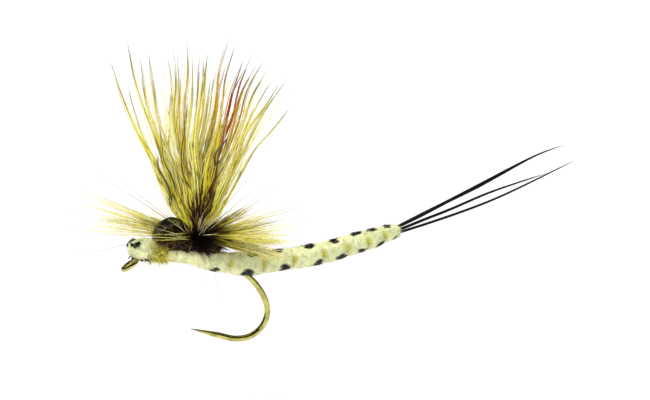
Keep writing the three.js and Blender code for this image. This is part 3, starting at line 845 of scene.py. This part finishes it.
# name, the path that it winds round, radius, turns, thickness, kind, body and the CAD node
WINDINGS = [
    ("whip_finish_turns", shank_path(0.98, 1.5), 0.36, 7, 0.05, FINE, "root", "whip_finish"),
    ("shank_wraps", shank_path(1.6, 10.9), 0.36, 70, 0.06, COARSE, "root", "shank_thread"),
    ("neck_wraps", shank_path(2.5, 3.4), 0.48, 9, 0.05, FINE, "root", "neck_thread"),
    ("post_wraps", POST_ROUTE, 0.64, 16, 0.06, FINE, "root", "post_thread"),
    ("tail_wraps", TIP_ROUTE, 0.26, 9, 0.05, FINE, "abdomen", "tail_thread"),
]


def make_threads():
    for name, route, radius, turns, thickness, (shade, points, sides), body, node_name in WINDINGS:
        path = winding(route, radius, turns, points)
        make_thread(name, path, thickness, shade, body, [node_name], sides)
    for number, rib_x in enumerate(RIB_XS, 1):
        z, high, _ = body_row(rib_x)
        slope = float(body_row(rib_x + 0.05)[0] - body_row(rib_x - 0.05)[0]) / 0.1
        ends = [(rib_x + step, 0, z + step * slope) for step in (-0.05, 0, 0.05)]
        turns = winding(ends, high - RIB_DEPTH - 0.015, 2, 60)
        beside = step_smooth(0.7, 0.9, np.abs(turns[:, 1]) / high)
        make_thread(
            f"rib_wrap_{number}", turns, 0.03, mix_tints(RIB_THREAD, OCHRE, beside),
            "root" if number < 3 else "abdomen", [f"rib_thread_{number}"], 6,
        )


make_threads()

THREAD_TAGS = [
    ([(0.62, -0.22, 0.72), (0.32, -0.3, 0.72), (0.06, -0.28, 0.66)], 0.07),
    ([(0.45, -0.05, 0.66), (0.1, 0.1, 0.84), (-0.14, 0.15, 0.62)], 0.05),
    ([(1.38, -0.64, 0.62), (1.55, -0.72, 0.55), (1.75, -0.66, 0.48)], 0.09),
    ([(1.98, -0.5, 0.5), (2.0, -0.56, 0.3), (1.92, -0.6, 0.02)], 0.035),
]  # points along each clipped end of thread under the head, and its radius
for number, (route, thickness) in enumerate(THREAD_TAGS, 1):
    make_thread(f"thread_tag_{number}", curve_through(route, 12), thickness, BLACK_THREAD)

# ---------------------------------------------------------------- tails

TAIL_BLACK = colour(2, 2, 2)
TAIL_HIGHLIGHT = colour(30, 28, 26)
# places along a doubled tail, and how far apart its two fibres lie at each
FIBRE_GAP = ([0, 0.16, 0.33, 0.5, 0.66, 0.82, 1], [0, 0.7, 0.35, 1, 0.75, 0.2, 0])


def make_tail(name, base, *shifts):
    """A tail of one or two tapered fibres with a painted highlight, a paler line down one side of them.
    base is their thickness.
    """
    steps, sides = 90, 12
    t = np.linspace(0, 1, steps)
    centre = curve_through(TAIL_ROUTES[name], steps)
    gap = np.interp(t, *FIBRE_GAP)[:, None]
    paths = np.array([centre + np.array(shift) * gap for shift in shifts])
    radii = base * (1 - t**2) + 0.05 * (1 - t**14) + 0.005
    tint = np.broadcast_to(TAIL_BLACK, (len(shifts), steps, sides, 3)).copy()
    # painted highlight: a paler line down one side of each fibre
    tint[:, :, 2] = TAIL_HIGHLIGHT
    shape = tubes(paths, np.broadcast_to(radii, paths.shape[:2]), sides)
    make_piece(name + "_fibre", shape, tail_hair, "tails", "tail_fibre", [name], tint)


make_tail("tail_upper", 0.1, (0, 0, 0.05), (0.04, -0.05, -0.1))
make_tail("tail_middle", 0.1, (0, 0, 0))
make_tail("tail_lower", 0.085, (0, 0, 0))

# ---------------------------------------------------------------- wing

WING_LOCKS = [
    (-27, 19.0), (-21, 20.3), (-16, 18.4), (-10, 17.4), (-6.5, 17.6), (-3, 18.6), (1, 17.9),
    (5, 18.2), (10, 19.4), (13.5, 18.8), (17.5, 18.2), (22, 17.8), (27, 17.3), (33, 17.6),
]  # lean from upright in degrees, and reach from the pivot
RUSTY_LOCKS = (9, 10)
FAN_BASE = 2.5
FAN_BOW = 0.42  # how far the strands bow forward between their ends
FAN_STAGGER = 0.27  # how far along the fly the rows step, so that each shows between the others

HAIR_ROOT = colour(222, 212, 24)
HAIR_GOLD = colour(248, 228, 48)
HAIR_PALE = colour(252, 246, 146)
HAIR_BROWN = colour(200, 160, 40)
HAIR_TIP = colour(84, 72, 66)
HAIR_RUST = colour(172, 62, 16)
HAIR_ORANGE = colour(226, 150, 28)
HAIR_MAROON = colour(70, 26, 18)
HAIR_DARK = colour(22, 18, 14)

# lean, reach and kind of each strand of hair
WING_STRANDS = [
    (-26, 19.9, "gold"), (-24.5, 16.8, "pale"), (-20, 20.5, "gold"), (-18.4, 18.6, "gold"),
    (-15.3, 18.5, "brown"), (-13, 13.0, "pale"), (-8.9, 17.8, "pale"), (-7.3, 18.4, "gold"),
    (-5.9, 18.0, "brown"), (-4.6, 14.0, "gold"), (-3.0, 19.0, "orange"), (-0.9, 18.1, "pale"),
    (1.4, 18.2, "pale"), (2.8, 17.5, "gold"), (4.0, 18.2, "gold"), (5.6, 15.4, "gold"),
    (7.4, 16.6, "gold"), (9.8, 19.5, "orange"), (11.0, 17.4, "gold"), (12.2, 19.3, "orange"),
    (13.4, 16.0, "gold"), (15.9, 17.9, "rust"), (18.3, 18.6, "rust"), (17.2, 17.0, "rust"),
    (20.6, 17.6, "orange"), (22.5, 18.1, "orange"), (24.9, 18.2, "brown"), (27.1, 17.2, "gold"),
    (31.8, 17.9, "gold"), (30.4, 16.9, "gold"), (38.2, 15.6, "pale"),
    (-24.6, 9.2, "dark"), (-18.0, 12.0, "dark"), (-5.4, 12.6, "dark"), (17.2, 9.6, "maroon"),
    (19.0, 10.4, "maroon"), (21.2, 8.6, "maroon"), (14.5, 7.5, "maroon"), (9.0, 6.0, "maroon"),
    (24.0, 7.0, "maroon"),
]
HAIRS_PER_STRAND = 7
FILLERS = ("gold", "brown", "gold", "pale") * 5  # short strands low in the fan, of four hairs each
HAZE_STRANDS = 44  # thin pale strands of three hairs, all over the fan


def strand_line(lean, reach, row, steps, wave, phase):
    """The middle line of one strand: up out of the post, out over its edge and on to its tip."""
    flare = 1.7 if lean < 0 else 1.35
    lean, base_lean = math.radians(lean), math.radians(lean * flare)
    root = np.array([0.35 * math.sin(base_lean * 1.4), row * 0.22, 0.35])
    bend = np.array([FAN_BASE * math.sin(base_lean), row * 0.5, FAN_BASE * math.cos(base_lean)])
    tip = reach * np.array([math.sin(lean), 0, math.cos(lean)])
    tip[1] = row * reach * math.tan(math.radians(8))
    across = np.array([math.cos(lean), 0, -math.sin(lean)])
    points = [root, bend]
    for share in (0.2, 0.4, 0.6, 0.8):
        sway = wave * math.sin(TURN * (1.5 * share + phase))
        bow = FAN_BOW * math.sin(math.pi * share)
        depth = 0.6 * wave * math.sin(TURN * (1.1 * share + 1.7 * phase))
        points.append(bend + (tip - bend) * share + across * (sway - bow) + np.array([0, depth, 0]))
    line = curve_through([*points, tip], steps)
    line[:, 0] += FAN_STAGGER * line[:, 1]
    return line


# the colour that each kind of strand turns to, how strongly, and where along it that starts and ends
STRAND_TURNS = {
    "orange": (HAIR_ORANGE, 0.8, 0.35, 0.75), "rust": (HAIR_RUST, 0.95, 0.3, 0.55),
    "maroon": (HAIR_MAROON, 0.95, 0.05, 0.2), "dark": (HAIR_DARK, 0.95, 0.3, 0.45),
}
STRAND_BLENDS = {"pale": (HAIR_PALE, 0.55), "haze": (HAIR_PALE, 0.9), "brown": (HAIR_BROWN, 0.5)}
LEAST_LIGHT = {"maroon": 0.25, "dark": 0.45}  # hairs less light than this don't turn


def strand_tints(kind, steps):
    """Colours along a hair of a strand: an olive root, a golden middle and a grey-brown tip."""
    t = np.linspace(0, 1, steps)
    light = rng.uniform(0, 1)
    tints = mix_tints(HAIR_GOLD, HAIR_PALE, np.clip(light * 1.6 - 0.5, 0, 1))
    tints = mix_tints(tints, HAIR_BROWN, step_smooth(0.3, 0.0, light) * 0.9)
    if kind in STRAND_BLENDS:
        tints = mix_tints(tints, *STRAND_BLENDS[kind])
    elif kind in STRAND_TURNS:
        target, most, start, end = STRAND_TURNS[kind]
        turns = light > LEAST_LIGHT.get(kind, -1)
        tints = mix_tints(tints, target, most * step_smooth(start, end, t) * turns)
    tints = mix_tints(tints, HAIR_ROOT, 0.8 * step_smooth(0.45, 0.1, t))
    fleck = ripple(np.stack(np.broadcast_arrays(t * 9, light * 40, 0.0), -1), 1.0, 71)
    tints = mix_tints(tints, HAIR_DARK, step_smooth(1.1, 1.35, fleck) * step_smooth(0.75, 0.5, t) * 0.9)
    if kind == "haze":
        return tints
    return mix_tints(tints, HAIR_TIP, step_smooth(0.76, 1.0, t + 0.1 * (light - 0.5)))


def make_wing():
    steps = 26
    hairs_by_lock = {index: [] for index in range(len(WING_LOCKS))}
    leans = np.array([lean for lean, _ in WING_LOCKS])
    strands = [(*strand, HAIRS_PER_STRAND) for strand in WING_STRANDS]
    for kind in FILLERS:
        lean = float(np.clip(rng.normal(9, 9), -20, 31))
        strands.append((lean, rng.uniform(7.0, 13.5), kind, 4))
    for lean in np.linspace(-26, 35, HAZE_STRANDS) + rng.uniform(-1, 1, HAZE_STRANDS):
        strands.append((float(lean), rng.uniform(13.5, 18.2), "haze", 3))
    pivot = np.array([POST_X, 0, WING_PIVOT_Z])
    for lean, reach, kind, hairs in strands:
        lock = int(np.argmin(np.abs(leans - lean)))
        row = (lock % 3) - 1 + rng.uniform(-0.45, 0.45)
        if kind in ("maroon", "dark"):
            row = -1.5
        wave, phase = rng.uniform(0.16, 0.32), 0.02 * lean + rng.uniform(0, 0.2)
        line = strand_line(lean, reach, row, steps, wave, phase)
        t = np.linspace(0, 1, steps)
        body = step_smooth(-0.1, 0.2, t) * (1 - t) ** 0.5
        spread = 2.0 if kind == "haze" else 1.0
        offsets = spread * rng.normal(size=(hairs, 1, 3)) * np.array([0.15, 0.13, 0.05])
        paths = line[None] + offsets * body[None, :, None]
        waver = t[None, :, None] * rng.uniform(8, 16, (hairs, 1, 1)) + rng.uniform(0, 6, (hairs, 1, 3))
        paths += 0.035 * np.sin(waver)
        ends = rng.uniform(0.8, 1.0, hairs)
        ends[0] = 1.0
        for hair in range(hairs):
            stretch = np.linspace(0, ends[hair], steps)
            path = np.column_stack([np.interp(stretch, t, paths[hair, :, k]) for k in range(3)])
            hairs_by_lock[lock].append((path + pivot, kind))
    for lock, hairs in hairs_by_lock.items():
        paths = np.array([path for path, _ in hairs])
        tints = np.array([strand_tints(kind, steps) for _, kind in hairs])
        thin = np.array([0.45 if kind == "haze" else 1.0 for _, kind in hairs])[:, None]
        root = thin * rng.uniform(0.05, 0.085, (len(hairs), 1))
        t = np.linspace(0, 1, steps)[None, :]
        radii = root * (1 - t) ** 0.55 + 0.01
        make_strands(
            f"wing_hair_{lock + 1:02d}", paths, radii, tints, wing_hair, 5, body="wing",
            slot="wing_hair_rust" if lock in RUSTY_LOCKS else "wing_hair",
            stands_for=[f"wing_fibres_{lock + 1:02d}"],
        )


make_wing()


def make_wing_roots():
    """Short dark hairs, maroon to black, that stand round the foot of the fan."""
    count, steps = 420, 9
    lean = np.radians(rng.normal(4, 13, count))
    row = rng.choice([-1.0, 1.0], count, p=[0.65, 0.35]) * rng.uniform(0.7, 1.3, count)
    reach = rng.uniform(1.5, 5.4, count) * np.cos(np.clip(lean * 2.2, -1.3, 1.3))
    t = np.linspace(0, 1, steps)[None, :]
    rise = 0.3 + (reach - 0.3)[:, None] * t
    x = POST_X + rise * np.sin(lean)[:, None] * (1 + 0.25 * t)
    x += 0.05 * np.sin(9 * t + lean[:, None] * 60)
    y = row[:, None] * (0.75 + 0.35 * t)
    z = WING_PIVOT_Z + rise * np.cos(lean)[:, None]
    shade = rng.uniform(0, 1, (count, 1)) ** 1.5
    tints = mix_tints(HAIR_DARK, HAIR_MAROON, np.clip(shade * 1.4, 0, 1))
    tints = mix_tints(tints, HAIR_BROWN, step_smooth(0.6, 1.0, shade) * step_smooth(0.1, 0.8, t))
    tints = mix_tints(tints, HAIR_PALE, 0.8 * step_smooth(0.9, 0.94, shade) * step_smooth(0.1, 0.5, t))
    make_strands(
        "wing_roots", np.stack([x, y, z], -1), taper(steps, 0.06, 0.012), tints, wing_hair, 5,
        body="wing", slot="wing_hair_rust",
    )


make_wing_roots()


def make_wing_butts():
    """The bound lower end of the wing's hair, and its butts running back along the shank."""
    bound, butts, steps = 90, 46, 14
    turn = rng.uniform(0, TURN, bound)
    out = np.sqrt(rng.uniform(0, 1, bound)) * 0.5
    t = np.linspace(0, 1, steps)
    height = 0.9 + rng.uniform(2.0, 2.8, bound)[:, None] * t
    flare = 1 + 1.2 * step_smooth(0.6, 1.0, t)
    x = POST_X + (np.cos(turn) * out)[:, None] * flare
    y = (np.sin(turn) * out)[:, None] * flare * 0.9
    tints = mix_tints(HAIR_MAROON, HAIR_BROWN, rng.uniform(0, 1, (bound, 1)))
    tints = mix_tints(tints, HAIR_DARK, 0.85 * step_smooth(1.0, 0.6, t))
    turn = rng.uniform(0, TURN, butts)
    out = np.sqrt(rng.uniform(0, 1, butts)) * 0.24
    centre = curve_through([(6.9, 0, 1.3), (7.8, 0, 1.02), (9.0, 0, 0.66), (10.2, 0, 0.24)], steps)
    ring = np.stack([np.zeros(butts), np.cos(turn) * out, np.sin(turn) * out], -1)
    butt_paths = centre[None] + ring[:, None, :] * np.linspace(1, 0.5, steps)[None, :, None]
    butt_tints = np.broadcast_to(mix_tints(HAIR_BROWN, HAIR_DARK, 0.4), (butts, steps, 3))
    radii = [np.tile(taper(steps, 0.06, 0.02, 3.0), (bound, 1)), np.full((butts, steps), 0.04)]
    make_strands(
        "wing_butts", np.concatenate([np.stack([x, y, height], -1), butt_paths]),
        np.concatenate(radii), np.concatenate([tints, butt_tints]), wing_hair, 5,
        body="root", slot="wing_hair", stands_for=["wing_post"],
    )


make_wing_butts()

# ---------------------------------------------------------------- hackle

BARB_BLACK = colour(8, 7, 9)
BARB_BROWN = colour(74, 44, 16)
BARB_OLIVE = colour(198, 184, 40)
BARB_YELLOW = colour(244, 232, 74)
BARB_CREAM = colour(248, 243, 176)
BARB_GREY = colour(172, 162, 120)

BARB_RING = 0.9  # radius at which the barbs leave the quill
QUILL_RING = 0.86
PARTING = math.radians(33)  # half the gap at the front
BESIDE = 1.6  # the swing of barbs that stand straight out to the side


def barbs_from(swing, lift, length, strays, base_z, steps):
    """Barbs from the ring of the quill. swing is the way each one points round the post, 0 at the
    head and a quarter turn at -Y, and lift is its angle above level. strays are each barb's own
    turn and rise at its root, which it loses towards the tip of its clump."""
    t = np.linspace(0, 1, steps)[None, :]
    closing = 1 - 0.85 * t
    turned = step_smooth(1.1, 0.5, np.abs(swing)) * np.sign(swing) * 0.42
    heading = swing[:, None] - turned[:, None] * t + strays[0][:, None] * closing
    radius = BARB_RING + length[:, None] * t * np.cos(lift)[:, None]
    droop = rng.uniform(-0.03, 0.1, (len(swing), 1))
    z = base_z + length[:, None] * (t * np.sin(lift)[:, None] - droop * t * (1 - t))
    x = POST_X - radius * np.cos(heading)
    y = -radius * np.sin(heading)
    return np.stack([x, y, z + strays[1][:, None] * closing], -1)


def barb_clumps(count, size, reach, even):
    """Swing, lift, length and strays of barbs in clumps, parted at the front by the wing case. Few
    stand straight out on the near side: even is the share of those that do."""
    clumps = count // size
    swing = rng.uniform(PARTING, math.pi, clumps)
    side = np.where(rng.uniform(0, 1, clumps) < 0.5, 1.0, -1.0)
    facing = (side > 0) & (np.abs(swing - BESIDE) < 0.75) & (rng.uniform(0, 1, clumps) > even)
    swing = np.where(facing, np.where(rng.uniform(0, 1, clumps) < 0.7, 2.55, 0.75), swing)
    swing += np.where(facing, rng.normal(0, 0.15, clumps), 0)
    front = np.cos(swing)
    side = np.where((side > 0) & (front > 0.3) & (rng.uniform(0, 1, clumps) < 0.85), -1.0, side)
    beside = step_smooth(0.15, 0.5, np.sin(swing)) * step_smooth(-0.3, -0.7, front)
    near = np.where(front > 0, 3 + 6 * front, 2 - 9 * beside)
    level = np.where(side > 0, near, 11 + 3 * front)
    lift = level + rng.normal(0, 1, clumps) * np.where(front > 0.3, 4.0, 8.0)
    lowest = np.where((side > 0) & (np.abs(swing - BESIDE) < 0.75), 5, -13)  # degrees
    lift = np.maximum(lift, lowest)
    pick = rng.integers(0, clumps, count)
    turn = side[pick] * np.maximum(swing[pick] + rng.normal(0, 0.02, count), PARTING)
    clump_length = reach * (0.92 + 0.08 * front) * rng.uniform(0.5, 1.0, clumps)
    length = clump_length[pick] * rng.uniform(0.75, 1.05, count)
    strays = rng.normal(0, 0.1, count), rng.normal(0, 0.22, count)
    return turn, np.radians(lift[pick] + rng.normal(0, 1.2, count)), length, strays


def barb_tints(length, steps, kind):
    """Colours along barbs: golden or barred ones, cream ones whose paleness is painted highlight, pale
    haze, or dark loose ones.
    """
    t = np.tile(np.linspace(0, 1, steps), (len(length), 1))
    light = np.tile(rng.uniform(0, 1, (len(length), 1)), steps)
    web = step_smooth(4.6, 2.4, t * length[:, None] + 1.6 * light)
    if kind == "haze":
        return mix_tints(mix_tints(BARB_YELLOW, BARB_CREAM, light * t * 1.4), BARB_BROWN, web * 0.9)
    if kind == "cream":
        tints = mix_tints(BARB_CREAM, BARB_GREY, light * 0.6)
        return mix_tints(tints, BARB_BROWN, step_smooth(0.5, 0.2, t))
    if kind == "loose":
        return mix_tints(BARB_BROWN, BARB_GREY, step_smooth(0.15, 0.8, t))
    if kind == "golden":
        tints = mix_tints(BARB_OLIVE, BARB_YELLOW, np.clip(light * 0.9 + t * 0.4, 0, 1))
        tints = mix_tints(tints, BARB_CREAM, step_smooth(0.55, 1.0, t + 0.2 * light) * 0.6)
        return mix_tints(tints, BARB_BLACK + 0.5 * light[..., None] * BARB_BROWN, web * 0.95)
    bars = 0.5 + 0.5 * np.sin(t * 22 + light * 20)
    tints = mix_tints(BARB_BLACK, BARB_BROWN, light * 0.9)
    tints = mix_tints(tints, BARB_OLIVE, step_smooth(0.2, 0.7, bars) * step_smooth(0.25, 0.5, t) * 0.9)
    return mix_tints(tints, BARB_GREY, step_smooth(0.6, 1.0, t + 0.15 * light))


def make_hackle(node_name, kind, count, base_z):
    """A feather wound round the post: its quill, its clumps of barbs and the barbs that stray."""
    steps = 11
    groups = [(kind, *barb_clumps(count, 7, 10.8, 0.0), 0.06)]
    if kind == "golden":
        groups.append(("haze", *barb_clumps(540, 4, 12.3, 0.1), 0.03))
        # barbs pointing towards -Y and up, painted cream as a painted highlight
        facing = 30
        side = rng.choice([-1.0, 1.0], facing, p=[0.25, 0.75])
        swing = side * np.radians(rng.normal(86, 15, facing))
        lift = np.radians(rng.normal(28, 11, facing))
        strays = rng.normal(0, 0.12, facing), rng.normal(0.1, 0.12, facing)
        groups.append(("cream", swing, lift, rng.uniform(3.6, 6.4, facing), strays, 0.036))
    else:
        swing, lift, length = np.array(LOOSE_BARBS).T
        straight = np.zeros((2, len(swing)))
        groups.append(("loose", np.radians(swing), np.radians(lift), length, straight, 0.034))
    paths, radii, tints = [], [], []
    for group, swing, lift, length, strays, root in groups:
        paths.append(barbs_from(swing, lift, length, strays, base_z, steps))
        radii.append(np.tile(taper(steps, root, 0.011, 0.8), (len(swing), 1)))
        tints.append(barb_tints(length, steps, group))
    angle = np.linspace(0, TURN * 3, steps * 8)
    climb = np.linspace(-0.12, 0.12, len(angle))
    quill = np.column_stack([
        POST_X + QUILL_RING * np.cos(angle), QUILL_RING * np.sin(angle), base_z + climb
    ])
    barb_points, barb_faces = tubes(np.concatenate(paths), np.concatenate(radii), 4)
    quill_points, quill_faces = tubes(quill[None], np.full((1, len(quill)), 0.1), 10)
    offset = len(barb_points)
    faces = barb_faces + [[corner + offset for corner in face] for face in quill_faces]
    barb_tint = np.repeat(np.concatenate(tints), 4, axis=1).reshape(-1, 3)
    quill_tint = np.broadcast_to(BARB_BROWN * 0.5, (len(quill_points), 3))
    make_piece(
        node_name + "_barbs", (np.concatenate([barb_points, quill_points]), faces), barb_hair,
        "root", node_name, [node_name], np.concatenate([barb_tint, quill_tint]),
    )


# swing, lift and length of barbs that stray from the rest
LOOSE_BARBS = [
    (-38, 33, 10.8), (-42, 37, 8.4), (-60, 40, 6.5), (-24, 24, 9.6), (33, 20, 9.0), (-35, 10, 12.2),
    (36, 4, 12.4), (38, -13, 8.6), (-20, -9, 11.6), (150, 36, 8.4), (-150, 38, 9.6), (-140, 43, 9.4),
    (-155, 31, 7.4), (-160, 24, 9.6), (148, -22, 7.6), (128, -17, 7.4), (112, -60, 7.2), (98, -64, 5.4),
    (80, -42, 4.8), (62, -36, 3.6), (-120, 50, 6.4), (155, 16, 10.4), (-165, 12, 10.8), (60, 40, 5.6),
]

make_hackle("hackle_golden", "golden", 300, 2.68)
make_hackle("hackle_grizzly", "grizzly", 200, 2.98)


def make_hackle_web():
    """The short dark web at the barbs' roots: a ruff round the post and a tuft on its two sides."""
    steps = 6
    ruff, tuft = 1000, 800
    angle = rng.uniform(-math.pi, math.pi, ruff)
    lift = np.radians(rng.normal(12, 26, ruff))
    lift = np.where(np.abs(np.cos(angle)) > 0.4, np.minimum(lift, 0.15), lift)
    out = np.stack([-np.cos(angle) * np.cos(lift), -np.sin(angle) * np.cos(lift), np.sin(lift)], -1)
    ring = rng.uniform(0.6, 1.0, ruff)
    bases = np.column_stack([
        POST_X - ring * np.cos(angle), -ring * np.sin(angle), rng.uniform(2.0, 3.15, ruff)
    ])
    lengths = rng.uniform(0.3, 1.0, ruff) ** 1.6 * 2.2
    side = rng.choice([-1.0, 1.0], tuft, p=[0.7, 0.3])
    spread = rng.normal(size=(tuft, 3)) * (0.5, 0.45, 0.55)
    tuft_ends = np.column_stack([np.full(tuft, 7.0), side * 2.8, np.full(tuft, 2.3)]) + spread
    tuft_bases = np.column_stack([np.full(tuft, POST_X), side * BARB_RING, np.full(tuft, 2.7)])
    tuft_bases += 0.35 * spread
    tuft_way = tuft_ends - tuft_bases
    tuft_lengths = np.linalg.norm(tuft_way, axis=1) * rng.uniform(0.8, 1.1, tuft)
    paths = np.concatenate([
        fuzz_paths(bases, out, lengths, 0.12, steps),
        fuzz_paths(tuft_bases, unit(tuft_way), tuft_lengths, 0.08, steps),
    ])
    shade = np.concatenate([rng.uniform(0, 0.35, ruff), rng.uniform(0, 0.08, tuft)])
    make_strands(
        "hackle_web", paths, taper(steps, 0.06, 0.012),
        mix_tints(BARB_BLACK, BARB_BROWN, shade)[:, None, :], barb_hair,
        body="root", slot="hackle_grizzly",
    )


make_hackle_web()

# ---------------------------------------------------------------- finishes of the CAD that stays

for inner in ("core_filament_front", "core_filament_rear"):
    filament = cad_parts[inner]
    filament.data.materials.clear()
    filament.data.materials.append(nylon)

# ---------------------------------------------------------------- floor, light and camera

FLOOR_DROP = 9.0  # below the CAD's lowest point
FLOOR_HALF = 3000  # half the length of its side
CAMERA_TURN, CAMERA_RISE = math.radians(-15), math.radians(6)
PICTURE_MIDDLE = (19.5, 6.5)  # how far it is to the right of the hook's eye, and above it
PICTURE_WIDTH = 65
LENS, SENSOR = 500, 36
AMBIENT = 0.82
SUNS = [
    ("soft_sun", 1.6, 50, (0.35, 0.75, -0.9)), ("front_fill", 0.9, 40, (0.3, 1.0, -0.05)),
]  # name, strength, breadth in degrees and the way that the light goes


def make_floor():
    material, tree, shader = new_material("floor", Roughness=0.9)
    where = node(tree, "ShaderNodeTexCoord").outputs["Object"]
    grain = noise(tree, where, 40.0)
    white, off_white = colour(252, 252, 252), colour(247, 247, 247)
    tree.links.new(blend_colours(tree, grain, white, off_white), shader.inputs["Base Color"])
    mesh = bpy.data.meshes.new("floor")
    z = cad_box[0].z / MM - FLOOR_DROP
    turns = [(-1, -1), (1, -1), (1, 1), (-1, 1)]
    corners = [(x * FLOOR_HALF * MM, y * FLOOR_HALF * MM, z * MM) for x, y in turns]
    mesh.from_pydata(corners, [], [(0, 1, 2, 3)])
    mesh.materials.append(material)
    floor = add_object("floor", mesh)


def make_camera():
    across = math.cos(CAMERA_RISE)
    back = Vector((
        math.sin(CAMERA_TURN) * across, -math.cos(CAMERA_TURN) * across, math.sin(CAMERA_RISE)
    ))
    right = Vector((math.cos(CAMERA_TURN), math.sin(CAMERA_TURN), 0))
    target = (right * PICTURE_MIDDLE[0] + back.cross(right) * PICTURE_MIDDLE[1]) * MM
    data = bpy.data.cameras.new("camera")
    data.lens, data.sensor_width = LENS, SENSOR
    data.clip_start, data.clip_end = 0.01, 20
    camera = add_object("camera", data)
    camera.location = target + back * (PICTURE_WIDTH * MM * LENS / SENSOR)
    camera.rotation_mode = "QUATERNION"
    camera.rotation_quaternion = (-back).to_track_quat("-Z", "Y")
    bpy.context.scene.camera = camera


def make_light():
    """A pale tent with a dark ceiling that only polished surfaces reflect, and two soft suns."""
    world = bpy.data.worlds.new("studio")
    world.use_nodes = True
    tree = world.node_tree
    rays = node(tree, "ShaderNodeLightPath")
    split = node(tree, "ShaderNodeSeparateXYZ")
    tree.links.new(node(tree, "ShaderNodeTexCoord").outputs["Generated"], split.inputs["Vector"])
    ceiling = remap(tree, split.outputs["Z"], 0.02, 0.24, 1.0, 0.02)
    ambient = maths(tree, "MULTIPLY", rays.outputs["Is Diffuse Ray"], AMBIENT)
    mirrored = maths(tree, "MULTIPLY", rays.outputs["Is Glossy Ray"], ceiling)
    seen = maths(tree, "ADD", rays.outputs["Is Camera Ray"], maths(tree, "ADD", ambient, mirrored))
    tree.links.new(seen, tree.nodes["Background"].inputs["Strength"])
    tree.nodes["Background"].inputs["Color"].default_value = (1, 1, 1, 1)
    bpy.context.scene.world = world
    for name, energy, spread, way in SUNS:
        sun = bpy.data.lights.new(name, "SUN")
        sun.energy = energy
        sun.angle = math.radians(spread)
        lamp = add_object(name, sun)
        lamp.rotation_euler = Vector(way).to_track_quat("-Z", "Y").to_euler()
        lamp.visible_glossy = False
    bpy.context.scene.view_settings.view_transform = "Standard"


make_floor()
make_light()
make_camera()
